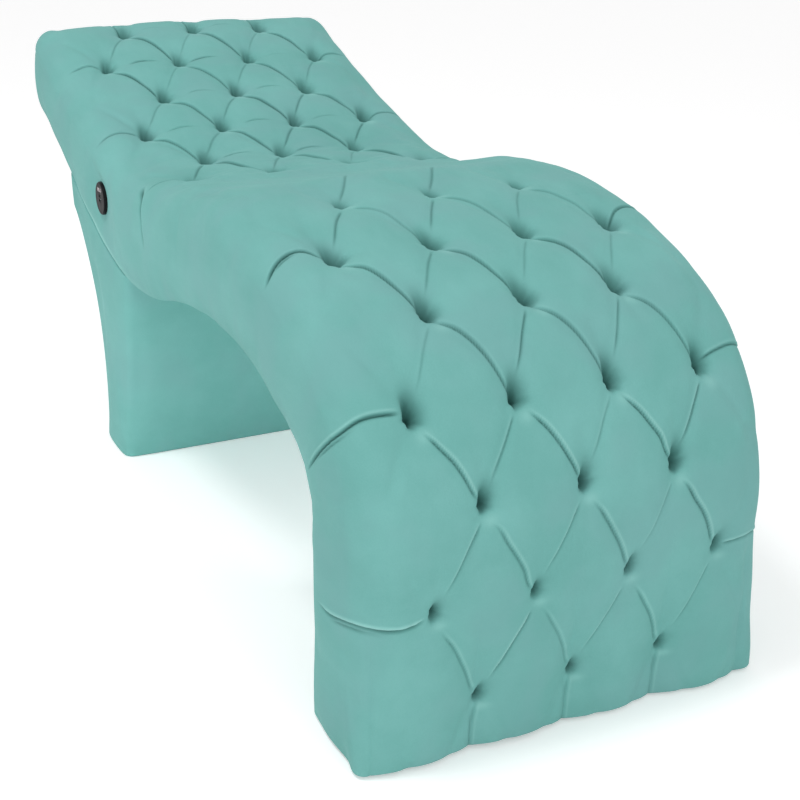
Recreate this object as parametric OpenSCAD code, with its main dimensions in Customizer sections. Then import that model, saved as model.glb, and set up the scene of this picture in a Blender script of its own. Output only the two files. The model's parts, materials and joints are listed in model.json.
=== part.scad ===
// Massage table: one S-shaped tufted body that stands on its shin panel and on a flared pedestal.
// X runs along the table with the foot at +X, Y runs across it and Z points up, in millimetres.
// The origin is on the floor under the middle of the length.
// Right is the right hand of a person lying on it face up, with the head at -X, so right is -Y.

/* [Overall] */
// Length from the plumb head end to the fullest point of the shin cushion
overall_len = 1820; // [1780:10:1880]
// Width over the covered sides
overall_w = 712; // [680:4:740]

/* [Body line] */
// Height at which the upright shin turns into the knee
shin_h = 290; // [270:5:310]
// Radius of the knee at the cover
knee_r = 375; // [355:5:395]
// Turn of the knee in degrees
knee_angle = 69.5; // [67:0.5:72]
// Radius of the crest under the thighs
crest_r = 1050; // [980:10:1120]
// Turn of the crest in degrees
crest_angle = 35.7; // [34:0.1:37]
// Straight stretch between the crest and the dip
saddle_len = 110; // [90:5:130]
// Radius of the dip under the waist
dip_r = 450; // [420:10:480]
// Slope of the straight back in degrees
back_slope = 18; // [16:0.5:20]

/* [Body thickness] */
// Thickness of the shin panel
shin_t = 178; // [168:1:188]
// Thickness at the middle of the knee
knee_t = 164; // [156:1:172]
// Thickness where the knee meets the crest
crest_t = 181; // [172:1:190]
// Thickness of the belly under the saddle
belly_t = 205; // [196:1:214]
// Thickness where the back starts
back_t = 187; // [178:1:196]
// Thickness at the head end
head_t = 158; // [150:1:166]

/* [Padding] */
// Foam between the deck and the line of the cover
foam_t = 50; // [46:1:56]
// Rounding of the long upper edges
edge_r = 40; // [34:1:44]
// Rise of the cushions above that line, at mid width
crown_h = 14; // [8:1:18]
// Padding on the sides, the head end and the pedestal, with its cover
wadding_t = 12; // [11:0.5:14]
// Cover with no padding, under the body and the feet
skin_t = 2; // [1.5:0.1:2.5]
// Rounding of the plumb edges of the pedestal
corner_r = 30; // [20:1:34]

/* [Tufting] */
// Distance from a long side to the outer tufts of the rows of four
tuft_from_side = 107; // [100:1:112]
// Distance between two rows on the shin, the knee and the crest
leg_row_gap = 152; // [148:1:156]
// Distance from the foot to the lowest row
leg_row_first = 92; // [86:1:98]
// Distance between two rows on the back
back_row_gap = 150; // [146:1:153]
// Distance from the head end to the top row
back_row_first = 78; // [72:1:84]
// Depth of a dimple below the pillows round it
dimple_d = 40; // [30:1:42]
// Radius of a dimple
dimple_r = 29; // [24:1:34]
// Depth of the pleats between the dimples
pleat_d = 12; // [6:1:14]
// Radius of a covered button
button_r = 7; // [5:0.5:8]
// Height of a covered button
button_h = 5; // [4:0.5:7]
// Radius of the hole for a tie in the deck
tie_hole_r = 2.5; // [2:0.1:3]
// Radius of a tie
tie_r = 1.2; // [1:0.1:1.5]
// Radius of the toggle behind the deck
toggle_r = 10; // [8:0.5:12]
// Thickness of a toggle
toggle_t = 3; // [2:0.5:4]

/* [Frame] */
// Plywood of the ribs, the head board and the toe board
ply_t = 18; // [15:1:21]
// Bent plywood of the decks
deck_t = 6; // [5:0.5:8]
// Bent hardboard under the body
liner_t = 4; // [3:0.5:5]
// Height of the cross rails
rail_h = 50; // [44:1:54]
// Least width of wood round a window of a rib
web_w = 26; // [22:1:30]
// Longest window of a rib
window_len = 150; // [120:5:165]
// Radius of the corners of a window
window_r = 16; // [8:1:18]

/* [Pedestal] */
// Distance from the head end to the front of the pedestal at the floor
pedestal_from_head = 608; // [588:4:624]
// Depth of the pedestal at the floor
pedestal_d = 157; // [150:1:175]
// Lean of the front of the pedestal towards the foot, in degrees
pedestal_lean = 10; // [8:0.5:11]
// Height at which the back of the pedestal starts to flare
flare_h = 100; // [90:5:115]
// Radius of the flare
flare_r = 500; // [460:10:540]
// Reach of the flare towards the head
flare_out = 185; // [170:5:195]
// Boards of the pedestal
board_t = 15; // [13:0.5:17]

/* [Fasteners and glides] */
// Radius of a pedestal bolt
bolt_r = 4; // [3:0.5:5]
// Clearance round a bolt or a pin in its hole
hole_gap = 0.5; // [0.3:0.1:0.8]
// Radius of a glide
glide_r = 12.5; // [10:0.5:15]
// Height of a glide
glide_h = 4; // [3:0.5:6]
// Distance from the outside of a foot to the middle of a glide
glide_inset = 36; // [34:1:40]

/* [Socket] */
// Distance from the lowest rail of the back to the middle of the socket
socket_from_rail = 145; // [120:5:160]
// Depth of the middle of the socket under the line of the cover
socket_depth = 86; // [84:0.5:90]
// Radius of the bezel
bezel_r = 34; // [31:0.5:36]
// Height of the bezel above the cover
bezel_h = 7; // [5:0.5:9]
// Radius of the barrel behind the bezel
barrel_r = 26; // [24:0.5:28]
// Length of the barrel behind the bezel
barrel_len = 46; // [42:1:52]

// Width of a USB receptacle
usb_w = 13; // [12:0.5:14]
// Height of a USB receptacle
usb_h = 5.6; // [5:0.1:7]
// Distance between the two receptacles
usb_gap = 10; // [9:0.5:12]
// Sheet of a receptacle
usb_wall = 0.5; // [0.3:0.1:0.6]
// Length of a receptacle
usb_len = 18; // [14:1:22]

/* [Hidden] */

$fn = 48;
// Overrun of every cut past the face that it opens
over = 1;
// Gap at which a loose fitted piece lies from its seat
seat_gap = 0.3;
// Gap between a toggle and the bent deck above it
toggle_gap = 0.8;
// Two stations nearer than this are one
same_s = 0.01;

velvet = [0.44, 0.68, 0.66];
velvet_side = [0.48, 0.71, 0.69];
plywood = [0.80, 0.66, 0.46];
fibreboard = [0.62, 0.50, 0.36];
steel = [0.62, 0.63, 0.65];
black = [0.09, 0.09, 0.10];
nylon = [0.85, 0.85, 0.82];

// The side line of the cover
base_z = glide_h + skin_t;
shin_x = overall_len / 2 - crown_h;
head_x = -overall_len / 2;
dip_turn = knee_angle + crest_angle + back_slope - 90;

function arc_len(r, turn) = r * turn * PI / 180;

// Stretches of the line from the foot to the start of the back: length and turn
stretches = [
    [shin_h - base_z, 0],
    [arc_len(knee_r, knee_angle), knee_angle],
    [arc_len(crest_r, crest_angle), crest_angle],
    [saddle_len, 0],
    [arc_len(dip_r, dip_turn), -dip_turn]
];
BACK = len(stretches);

// The point [x, z, heading] that lies s further along a stretch that starts at p
function after(p, stretch, s) =
    stretch[1] == 0
        ? [p[0] + s * cos(p[2]), p[1] + s * sin(p[2]), p[2]]
        : let (turn = stretch[1] * s / stretch[0], r = s / arc_len(1, turn), h = p[2] + turn)
            s == 0 ? p : [p[0] + r * (sin(h) - sin(p[2])), p[1] - r * (cos(h) - cos(p[2])), h];

function knot(k) =
    k == 0 ? [shin_x, base_z, 90] : after(knot(k - 1), stretches[k - 1], stretches[k - 1][0]);
function knot_at(k) = k == 0 ? 0 : knot_at(k - 1) + stretches[k - 1][0];

knots = [for (k = [0:BACK]) knot(k)];
knot_s = [for (k = [0:BACK]) knot_at(k)];
back_len = (knots[BACK][0] - head_x) / cos(back_slope);
line_len = knot_s[BACK] + back_len;

function line_at(s) =
    let (k = max([for (i = [0:BACK]) if (s >= knot_s[i] - same_s) i]))
    after(knots[k], k == BACK ? [back_len, 0] : stretches[k], s - knot_s[k]);

// Thickness of the body, square to the line, eased from one named thickness to the next
thick_knots = [
    [0, shin_t],
    [knot_s[1], shin_t],
    [(knot_s[1] + knot_s[2]) / 2, knee_t],
    [knot_s[2], crest_t],
    [(knot_s[3] + knot_s[4]) / 2, belly_t],
    [knot_s[BACK], back_t],
    [line_len, head_t]
];
function ease(u) = u * u * (3 - 2 * u);
function thick(s) =
    let (
        k = max([for (i = [0:len(thick_knots) - 2]) if (s >= thick_knots[i][0] - same_s) i]),
        a = thick_knots[k],
        b = thick_knots[k + 1]
    )
    a[1] + (b[1] - a[1]) * ease(min(1, max(0, (s - a[0]) / (b[0] - a[0]))));

// Sections are square to the line, and turn plumb before the head end
plumb_run = 2 * back_row_gap;
plumb_end = back_row_first;
function plumb_share(s) = min(1, max(0, (s - line_len + plumb_run + plumb_end) / plumb_run));

// The point at a depth under the line
function inside(s, d) =
    let (p = line_at(s), h = p[2], k = plumb_share(s) * tan(back_slope))
    [p[0] - d * (sin(h) + k * cos(h)), p[1] + d * (cos(h) - k * sin(h))];

// Distance along the line of a plumb face that lies q before the head end
function from_head(q) = line_len - q / cos(back_slope);

// Rows of tufts, as many as reach the top of the crest and the start of the dip
crest_top_s = knot_s[1] + arc_len(knee_r, knee_angle) + arc_len(crest_r, 90 - knee_angle);
LEG_ROWS = round((crest_top_s - leg_row_first) / leg_row_gap + 0.5);
BACK_ROWS = round((line_len - back_row_first - knot_s[BACK - 1]) / back_row_gap + 0.5);
ROW_STEPS = 4;
OUTER_COLUMN = 1.5;
tuft_gap = (overall_w / 2 - tuft_from_side) / OUTER_COLUMN;
leg_end = leg_row_first + (LEG_ROWS - 0.5) * leg_row_gap;
back_start = line_len - back_row_first - (BACK_ROWS - 0.5) * back_row_gap;
function leg_row(k) = leg_row_first + k * leg_row_gap;
function back_row(k) = line_len - back_row_first - k * back_row_gap;

// Stations where every long piece has its sections
SEAT_STEPS = 8;
leg_stations = concat(
    [0, ply_t],
    [for (k = [-1:(LEG_ROWS - 0.5) * ROW_STEPS]) leg_row_first + k * leg_row_gap / ROW_STEPS]
);
seat_stations = [for (k = [0:SEAT_STEPS]) leg_end + k * (back_start - leg_end) / SEAT_STEPS];
back_stations = concat(
    [for (k = [(BACK_ROWS - 0.5) * ROW_STEPS:-1:0]) back_row(k / ROW_STEPS)],
    [from_head(wadding_t + ply_t), from_head(wadding_t), from_head(wadding_t / 3), line_len]
);
stations = concat(
    leg_stations,
    [for (k = [1:SEAT_STEPS - 1]) seat_stations[k]],
    back_stations
);
function span(a, b) = [for (s = stations) if (s > a - same_s && s < b + same_s) s];

// Depths of the layers
foam_base = function (s) foam_t;
deck_base = function (s) foam_t + deck_t;
liner_top = function (s) thick(s) - skin_t - liner_t;
skin_top = function (s) thick(s) - skin_t;
body_base = function (s) thick(s);
rail_base = function (s) foam_t + deck_t + rail_h;
mounting_top = function (s) thick(s) - skin_t - liner_t - rail_h;

frame_w = overall_w - 2 * wadding_t;
frame_head = from_head(wadding_t);
rib_head = from_head(wadding_t + ply_t);

// A layer between two depths, with a width across the table
module layer(ss, upper, lower, w) {
    outline = concat(
        [for (s = ss) inside(s, upper(s))],
        [for (i = [len(ss) - 1:-1:0]) inside(ss[i], lower(ss[i]))]
    );
    rotate([90, 0, 0])
        linear_extrude(w, center = true)
            polygon(outline);
}

// Places across the table
outer_rib_y = (frame_w - ply_t) / 2;
inner_rib_share = 0.75;
inner_rib_y = inner_rib_share * tuft_gap;
mid_bay_w = 2 * inner_rib_y - ply_t;
side_bay_w = outer_rib_y - inner_rib_y - ply_t;
side_bay_y = (outer_rib_y + inner_rib_y) / 2;
bay_ys = [-side_bay_y, 0, side_bay_y];
bay_ws = [side_bay_w, mid_bay_w, side_bay_w];

module bays(ss, upper, lower) {
    for (i = [0:len(bay_ys) - 1])
        translate([0, bay_ys[i], 0]) layer(ss, upper, lower, bay_ws[i]);
}

// Rails lie between a quarter and a half of the way from one row of tufts to the next
leg_rail_starts = [for (k = [0:2:LEG_ROWS - 3]) leg_row(k + 1 / ROW_STEPS)];
back_rail_starts = [for (k = [0:2:BACK_ROWS - 3]) back_row(k + 2 / ROW_STEPS)];
socket_s = min(back_rail_starts) - socket_from_rail;
seat_rail_starts = [seat_stations[0], seat_stations[SEAT_STEPS / 2]];
leg_step = leg_row_gap / ROW_STEPS;
back_step = back_row_gap / ROW_STEPS;
seat_step = (back_start - leg_end) / SEAT_STEPS;

// Pedestal outline
under = [for (i = [len(stations) - 1:-1:0]) inside(stations[i], thick(stations[i]))];
function under_z(x) = lookup(x, under);
pedestal_x = head_x + pedestal_from_head;
pedestal_rear_x = pedestal_x - pedestal_d;
flare_x = pedestal_rear_x - flare_r;
lip_x = pedestal_rear_x - flare_out;

function front_x(z, inset) = pedestal_x + z * tan(pedestal_lean) - inset / cos(pedestal_lean);
CLIMBS = 8;
function climb(inset, z, n) = n == 0 ? z : climb(inset, under_z(front_x(z, inset)), n - 1);
function front_top(inset) = climb(inset, shin_h, CLIMBS);

FLARE_STEPS = 10;
function flare_end(inset) = acos((flare_r - flare_out + inset) / (flare_r + inset));
function flare_point(inset, turn) =
    [flare_x + (flare_r + inset) * cos(turn), flare_h + (flare_r + inset) * sin(turn)];
function flare_line(inset) =
    let (step = flare_end(inset) / FLARE_STEPS)
    [for (k = [0:FLARE_STEPS]) flare_point(inset, k * step)];
function rear_x(z, inset) =
    z <= flare_h
        ? pedestal_rear_x + inset
        : z >= flare_point(inset, flare_end(inset))[1]
            ? lip_x + inset
            : flare_x + sqrt((flare_r + inset) ^ 2 - (z - flare_h) ^ 2);

// The underside between two places, from the head towards the foot, lowered by a drop
function under_line(x0, x1, drop) = concat(
    [[x0, under_z(x0) - drop]],
    [for (p = under) if (p[0] > x0 + same_s && p[0] < x1 - same_s) [p[0], p[1] - drop]],
    [[x1, under_z(x1) - drop]]
);

module side_board(outline, w) {
    rotate([90, 0, 0])
        linear_extrude(w, center = true)
            polygon(outline);
}

// Cushions: how high the cover stands over the line, at a place s along and y across
PUFF_POWER = 0.6;
function tuft_v(s) =
    s < (leg_end + back_start) / 2
        ? (s - leg_row_first) / leg_row_gap
        : (line_len - back_row_first - s) / back_row_gap;
function last_row(s) = s < (leg_end + back_start) / 2 ? LEG_ROWS - 1 : BACK_ROWS - 1;
function limit(low, v, high) = min(high, max(low, v));
// Pleats run on from the last rows of tufts and fade over half a row
function pleat_share(s) =
    s < leg_end
        ? limit(0, (leg_end - s) / (leg_row_gap / 2), 1)
        : limit(0, (s - back_start) / (back_row_gap / 2), 1);
function puff_share(s, y) =
    let (
        v = limit(0, tuft_v(s), last_row(s)),
        u = limit(-OUTER_COLUMN, y / tuft_gap, OUTER_COLUMN),
        m = abs(sin(180 * (u + v / 2)) * sin(180 * (u - v / 2)))
    )
    m ^ PUFF_POWER;
function dimple_share(s, y) =
    let (
        v = limit(0, tuft_v(s), last_row(s)),
        u = limit(-OUTER_COLUMN, y / tuft_gap, OUTER_COLUMN),
        p = round(u + v / 2),
        q = round(u - v / 2),
        across = y - tuft_gap * (p + q) / 2,
        along = (tuft_v(s) - p + q) * (s < leg_end ? leg_row_gap : back_row_gap)
    )
    exp(-(across ^ 2 + along ^ 2) / dimple_r ^ 2);
function crown_share(y) = 1 - (2 * y / overall_w) ^ 2;
function rise(s, y) =
    crown_h * crown_share(y)
    - pleat_d * pleat_share(s) * (1 - puff_share(s, y))
    - (dimple_d - pleat_d) * pleat_share(s) * dimple_share(s, y);

// The head end of the cushion is rounded
head_round = 2.5 * wadding_t;
function head_drop(s) =
    let (e = min(head_round, line_len - s))
    head_round - sqrt(head_round ^ 2 - (head_round - e) ^ 2);

COLUMN_STEPS = 6;
column_gap = tuft_gap / COLUMN_STEPS;
flat_w = overall_w / 2 - edge_r;
COLUMNS = floor((flat_w - column_gap / 2) / column_gap);
EDGE_TURNS = [90, 60, 30, 0];
function edge_point(s, turn) =
    let (
        pleat = pleat_d * pleat_share(s) * (1 - puff_share(s, overall_w)),
        draw = pleat * (1 - turn / 90) + head_drop(s) * cos(turn)
    )
    [flat_w + edge_r * sin(turn) - draw * sin(turn), edge_r * (1 - cos(turn)) + draw * cos(turn)];
function half_section(s) = concat(
    [[overall_w / 2, foam_t]],
    [for (turn = EDGE_TURNS) edge_point(s, turn)]
);
function section(s) =
    let (half = half_section(s), n = len(half))
    concat(
        [for (p = half) [-p[0], p[1]]],
        [for (j = [-COLUMNS:COLUMNS]) [j * column_gap, head_drop(s) - rise(s, j * column_gap)]],
        [for (i = [n - 1:-1:0]) half[i]]
    );
function placed(s, p) = let (q = inside(s, p[1])) [q[0], p[0], q[1]];

// A cushion is a tube of sections, closed by a fan at each end
module cushion(ss) {
    n = len(section(ss[0]));
    m = len(ss);
    points = concat(
        [for (s = ss) for (p = section(s)) placed(s, p)],
        [placed(ss[0], [0, foam_t / 2]), placed(ss[m - 1], [0, foam_t / 2])]
    );
    walls = [
        for (i = [0:m - 2])
            for (j = [0:n - 1])
                let (
                    a = i * n + j,
                    b = i * n + (j + 1) % n,
                    c = a + n,
                    d = b + n,
                    lean = (floor(j / 2) + i) % 2 == 0
                )
                each (lean ? [[a, b, d], [a, d, c]] : [[a, b, c], [b, d, c]])
    ];
    ends = [
        for (j = [0:n - 1])
            each [
                [(j + 1) % n, j, m * n],
                [(m - 1) * n + j, (m - 1) * n + (j + 1) % n, m * n + 1]
            ]
    ];
    polyhedron(points, concat(walls, ends), convexity = 10);
}

// Tufts: every place [s, y]
function row_ys(count) = [for (i = [0:count - 1]) (i - (count - 1) / 2) * tuft_gap];
leg_tufts = [
    for (k = [0:LEG_ROWS - 1]) for (y = row_ys(k % 2 == 0 ? 3 : 4)) [leg_row(k), y]
];
back_tufts = [
    for (k = [0:BACK_ROWS - 1]) for (y = row_ys(k % 2 == 0 ? 3 : 4)) [back_row(k), y]
];

// Sets a child that points up at a depth under the line, square to the deck
module at_line(s, y, d) {
    p = inside(s, d);
    translate([p[0], y, p[1]])
        rotate([0, 180 - line_at(s)[2], 0])
            children();
}

module tie_holes(tufts) {
    for (t = tufts)
        at_line(t[0], t[1], foam_t + deck_t + over)
            cylinder(deck_t + 2 * over, r = tie_hole_r);
}

// Windows of a rib: rounded, between two rails
WINDOW_CORNER_STEPS = 4;
WINDOW_EDGE_STEPS = 5;
function corner(s, d, turn) = [
    for (k = [0:WINDOW_CORNER_STEPS])
        let (a = turn + k * 90 / WINDOW_CORNER_STEPS)
        [s + window_r * cos(a), d + window_r * sin(a)]
];
function window_path(s0, s1, d0, d1) =
    let (
        a = s0 + window_r,
        b = s1 - window_r,
        c = d0 + window_r,
        d = d1 - window_r
    )
    concat(
        corner(b, d, 0),
        [for (k = [1:WINDOW_EDGE_STEPS - 1]) [b + (a - b) * k / WINDOW_EDGE_STEPS, d1]],
        corner(a, d, 90),
        corner(a, c, 180),
        [for (k = [1:WINDOW_EDGE_STEPS - 1]) [a + (b - a) * k / WINDOW_EDGE_STEPS, d0]],
        corner(b, c, 270)
    );
module windows(a, b, past_socket) {
    count = max(1, ceil((b - a - web_w) / (window_len + web_w)));
    pitch = (b - a - web_w) / count;
    for (k = [0:count - 1]) {
        s0 = a + web_w + k * pitch;
        s1 = s0 + pitch - web_w;
        d0 = deck_base(s0) + web_w;
        d1 = min(liner_top(s0), liner_top(s1)) - web_w;
        path = window_path(s0, s1, d0, d1);
        if (!past_socket || abs(s0 + s1 - 2 * socket_s) > s1 - s0 + 2 * (barrel_r + web_w))
            rotate([90, 0, 0])
                linear_extrude(ply_t + 2 * over, center = true)
                    polygon([for (p = path) inside(p[0], p[1])]);
    }
}

// The mounting rails lie over the pedestal
function nearest_station(x) =
    let (gaps = [for (s = stations) abs(inside(s, thick(s))[0] - x)])
    [for (i = [0:len(gaps) - 1]) if (gaps[i] == min(gaps)) i][0];
mounting_inset = wadding_t + board_t + 2 * ply_t;
mount_front = nearest_station(front_x(front_top(0), mounting_inset));
mount_rear = nearest_station(lip_x + mounting_inset);
mounting_spans = [
    [stations[mount_rear - 1], stations[mount_rear]],
    [stations[mount_front], stations[mount_front + 1]]
];

// Every rail from foot to head, as [start, end], between the toe board and the head board
function in_order(spans) =
    len(spans) == 0
        ? []
        : let (first = min([for (ab = spans) ab[0]]))
            concat(
                [for (ab = spans) if (ab[0] == first) ab],
                in_order([for (ab = spans) if (ab[0] > first) ab])
            );
rail_spans = in_order(concat(
    [[0, ply_t], [rib_head, rib_head + ply_t]],
    [for (s = leg_rail_starts) [s, s + leg_step]],
    [for (s = seat_rail_starts) [s, s + seat_step]],
    [for (s = back_rail_starts) [s, s + back_step]],
    mounting_spans
));
least_bay = 2 * (web_w + window_r + over);

// The rib that carries the socket has no window near it
module rib(past_socket) {
    color(plywood)
    difference() {
        layer(span(ply_t, rib_head), deck_base, liner_top, ply_t);
        for (i = [1:len(rail_spans) - 1]) {
            a = max([for (k = [0:i - 1]) rail_spans[k][1]]);
            b = rail_spans[i][0];
            if (b - a > least_bay) windows(a, b, past_socket);
        }
    }
}

module outer_rib_left() translate([0, outer_rib_y, 0]) rib(false);
module inner_rib_left() translate([0, inner_rib_y, 0]) rib(false);
module inner_rib_right() translate([0, -inner_rib_y, 0]) rib(false);
module outer_rib_right() {
    color(plywood)
    difference() {
        translate([0, -outer_rib_y, 0]) rib(true);
        socket_bore(barrel_r + hole_gap);
    }
}

module toe_board() {
    color(plywood)
    difference() {
        layer(span(0, ply_t), deck_base, liner_top, frame_w);
        glide_holes(foot_glide_places);
    }
}

module head_board() {
    color(plywood) layer(span(rib_head, frame_head), deck_base, liner_top, frame_w);
}

module leg_rails() {
    color(plywood)
    for (s = leg_rail_starts) bays(span(s, s + leg_step), deck_base, rail_base);
}

module seat_rails() {
    color(plywood)
    for (s = seat_rail_starts) bays(span(s, s + seat_step), deck_base, rail_base);
}

module back_rails() {
    color(plywood)
    for (s = back_rail_starts) bays(span(s, s + back_step), deck_base, rail_base);
}

// Bolts stand square on the underside over the pedestal
seat_d = 0.7 * board_t;
nut_flange_r = 3 * bolt_r;
nut_flange_t = bolt_r / 2;
nut_barrel_r = 1.4 * bolt_r;
nut_barrel_len = 2.5 * bolt_r;
head_r = 2 * bolt_r;
head_h = 1.3 * bolt_r;
nut_seat_z = skin_t + liner_t + rail_h - bolt_r;

module at_bolts() {
    for (ab = mounting_spans) {
        p = inside(ab[0], thick(ab[0]));
        q = inside(ab[1], thick(ab[1]));
        for (y = bay_ys)
            translate([(p[0] + q[0]) / 2, y, (p[1] + q[1]) / 2])
                rotate([0, atan2(q[1] - p[1], p[0] - q[0]), 0])
                    children();
    }
}
module bolt_holes() {
    at_bolts()
        translate([0, 0, -2 * board_t])
            cylinder(2 * board_t + nut_seat_z + rail_h, r = bolt_r + hole_gap);
}

module mounting_rails() {
    color(plywood)
    difference() {
        union() {
            for (ab = mounting_spans) bays(span(ab[0], ab[1]), mounting_top, liner_top);
        }
        bolt_holes();
        at_bolts() {
            translate([0, 0, nut_seat_z]) cylinder(rail_h, r = nut_flange_r + hole_gap);
            translate([0, 0, nut_seat_z - nut_barrel_len - over])
                cylinder(nut_barrel_len + 2 * over, r = nut_barrel_r + hole_gap);
        }
    }
}

module leg_deck() {
    color(plywood)
    difference() {
        layer(span(0, leg_end), foam_base, deck_base, frame_w);
        tie_holes(leg_tufts);
    }
}
module seat_deck() color(plywood) layer(span(leg_end, back_start), foam_base, deck_base, frame_w);
module back_deck() {
    color(plywood)
    difference() {
        layer(span(back_start, frame_head), foam_base, deck_base, frame_w);
        tie_holes(back_tufts);
    }
}

module leg_liner() color(fibreboard) layer(span(0, leg_end), liner_top, skin_top, frame_w);
module seat_liner() color(fibreboard) layer(span(leg_end, back_start), liner_top, skin_top, frame_w);
module back_liner() {
    color(fibreboard)
    difference() {
        layer(span(back_start, frame_head), liner_top, skin_top, frame_w);
        bolt_holes();
    }
}

module leg_cushion() color(velvet) cushion(span(0, leg_end));
module seat_cushion() color(velvet) cushion(span(leg_end, back_start));
module back_cushion() color(velvet) cushion(span(back_start, line_len));

// The rim of a button rests on the walls of its dimple
function pit_depth(s, y) = -rise(s, y);
function pit_slope(s, y) = max([
    for (way = [[0, 1], [0, -1], [1, 0], [-1, 0]])
        let (step = way[0] == 0 ? column_gap : s < leg_end ? leg_step : back_step)
        (pit_depth(s, y) - pit_depth(s + way[0] * step, y + way[1] * step)) / step
]);
module tuft_buttons() {
    color(velvet)
    for (t = concat(leg_tufts, back_tufts))
        at_line(t[0], t[1], pit_depth(t[0], t[1]) - button_r * pit_slope(t[0], t[1]) - 3 * seat_gap)
            rotate_extrude()
                intersection() {
                    translate([0, button_h - (button_r ^ 2 + button_h ^ 2) / (2 * button_h)])
                        circle((button_r ^ 2 + button_h ^ 2) / (2 * button_h));
                    square([button_r, button_h]);
                }
}

module tuft_ties() {
    color(nylon)
    for (t = concat(leg_tufts, back_tufts)) {
        at_line(t[0], t[1], foam_t + deck_t + toggle_gap + toggle_t) {
            cylinder(toggle_t, r = toggle_r);
            cylinder(toggle_t + toggle_gap + deck_t - seat_gap, r = tie_r);
        }
    }
}

module side_cover() layer(span(0, line_len), foam_base, body_base, wadding_t);
side_y = (overall_w - wadding_t) / 2;
module side_cover_left() color(velvet_side) translate([0, side_y, 0]) side_cover();
module side_cover_right() {
    color(velvet_side)
    difference() {
        translate([0, -side_y, 0]) side_cover();
        socket_bore(barrel_r + hole_gap);
    }
}
module head_cover() color(velvet_side) layer(span(frame_head, line_len), foam_base, body_base, frame_w);
module underside_cover() {
    color(velvet_side)
    difference() {
        layer(span(0, frame_head), skin_top, body_base, frame_w);
        bolt_holes();
    }
}

// Skin under the shin panel, cut to the lowest section of the cushion
foot_rear_x = inside(0, thick(0))[0];
module foot_base_cover() {
    front = [for (p = section(0)) [inside(0, p[1])[0], p[0]]];
    color(velvet_side)
    difference() {
        translate([0, 0, glide_h])
            linear_extrude(skin_t)
                polygon(concat(
                    [[foot_rear_x, -overall_w / 2]],
                    front,
                    [[foot_rear_x, overall_w / 2]]
                ));
        glide_holes(foot_glide_places);
    }
}

// Pedestal carcass
body_inset = wadding_t;
inner_inset = wadding_t + board_t;
carcass_w = overall_w - 2 * wadding_t;
web_inner_w = carcass_w - 2 * board_t;
cheek_y = (carcass_w - board_t) / 2;

module cheek() {
    color(fibreboard)
    side_board(concat(
        [[pedestal_rear_x + body_inset, base_z]],
        flare_line(body_inset),
        under_line(lip_x + body_inset, front_x(front_top(body_inset), body_inset), 0),
        [[front_x(base_z, body_inset), base_z]]
    ), board_t);
}
module pedestal_left_cheek() translate([0, cheek_y, 0]) cheek();
module pedestal_right_cheek() translate([0, -cheek_y, 0]) cheek();

module pedestal_front_board() {
    color(fibreboard)
    side_board([
        [front_x(base_z, body_inset), base_z],
        [front_x(front_top(body_inset), body_inset), front_top(body_inset)],
        [front_x(front_top(inner_inset), inner_inset), front_top(inner_inset)],
        [front_x(base_z, inner_inset), base_z]
    ], web_inner_w);
}

module pedestal_rear_board() {
    color(fibreboard)
    translate([pedestal_rear_x + body_inset, -web_inner_w / 2, base_z])
        cube([board_t, web_inner_w, flare_h - base_z]);
}

module pedestal_flare_board() {
    outer = flare_line(body_inset);
    inner = flare_line(inner_inset);
    color(fibreboard)
    side_board(concat(
        outer,
        under_line(lip_x + body_inset, lip_x + inner_inset, 0),
        [for (i = [FLARE_STEPS:-1:0]) inner[i]]
    ), web_inner_w);
}

module pedestal_floor_board() {
    color(fibreboard)
    difference() {
        side_board([
            [pedestal_rear_x + inner_inset, base_z],
            [pedestal_rear_x + inner_inset, base_z + board_t],
            [front_x(base_z + board_t, inner_inset), base_z + board_t],
            [front_x(base_z, inner_inset), base_z]
        ], web_inner_w);
        glide_holes(pedestal_glide_places);
    }
}

top_rear_x = lip_x + inner_inset;
top_low_x = max(top_rear_x, rear_x(under_z(top_rear_x) - board_t, inner_inset));
top_front_x = front_x(front_top(inner_inset) - board_t, inner_inset);
module pedestal_top_board() {
    upper = under_line(top_rear_x, top_front_x, 0);
    lower = under_line(top_low_x, top_front_x, board_t);
    color(fibreboard)
    difference() {
        side_board(concat(upper, [for (i = [len(lower) - 1:-1:0]) lower[i]]), web_inner_w);
        bolt_holes();
        at_bolts()
            translate([0, 0, -seat_d - 2 * board_t])
                cylinder(2 * board_t, r = head_r + 2 * hole_gap);
    }
}

module pedestal_webs() {
    color(fibreboard)
    for (y = [-inner_rib_y, inner_rib_y])
        translate([0, y, 0])
            side_board(concat(
                [[pedestal_rear_x + inner_inset, base_z + board_t]],
                flare_line(inner_inset),
                under_line(top_low_x, top_front_x, board_t),
                [[front_x(base_z + board_t, inner_inset), base_z + board_t]]
            ), board_t);
}

// Pedestal cover: a tube of flat rounded rings that tilt from the floor to the slope of the body,
// hollowed for the carcass and cut along the underside
CORNER_STEPS = 5;
SIDE_STEPS = 5;
LOW_STEPS = 3;
rear_top_z = under_z(lip_x) + over;
front_top_z = front_top(0) + over;
ring_heights = concat(
    [for (k = [0:LOW_STEPS]) base_z + k * (flare_h - base_z) / LOW_STEPS],
    [for (k = [1:FLARE_STEPS]) flare_line(0)[k][1]],
    [rear_top_z]
);
function corner_plan(d) = [
    for (c = [0:3])
        for (k = [0:CORNER_STEPS])
            let (
                a = 90 * (c + k / CORNER_STEPS),
                cx = c == 0 || c == 3 ? d - corner_r : corner_r,
                cy = c < 2 ? overall_w / 2 - corner_r : corner_r - overall_w / 2
            )
            [cx + corner_r * cos(a), cy + corner_r * sin(a)]
];
function side_plan(d, side) = [
    for (k = [1:SIDE_STEPS - 1])
        let (x = corner_r + (d - 2 * corner_r) * k / SIDE_STEPS)
        [side > 0 ? d - x : x, side * overall_w / 2]
];
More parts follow.
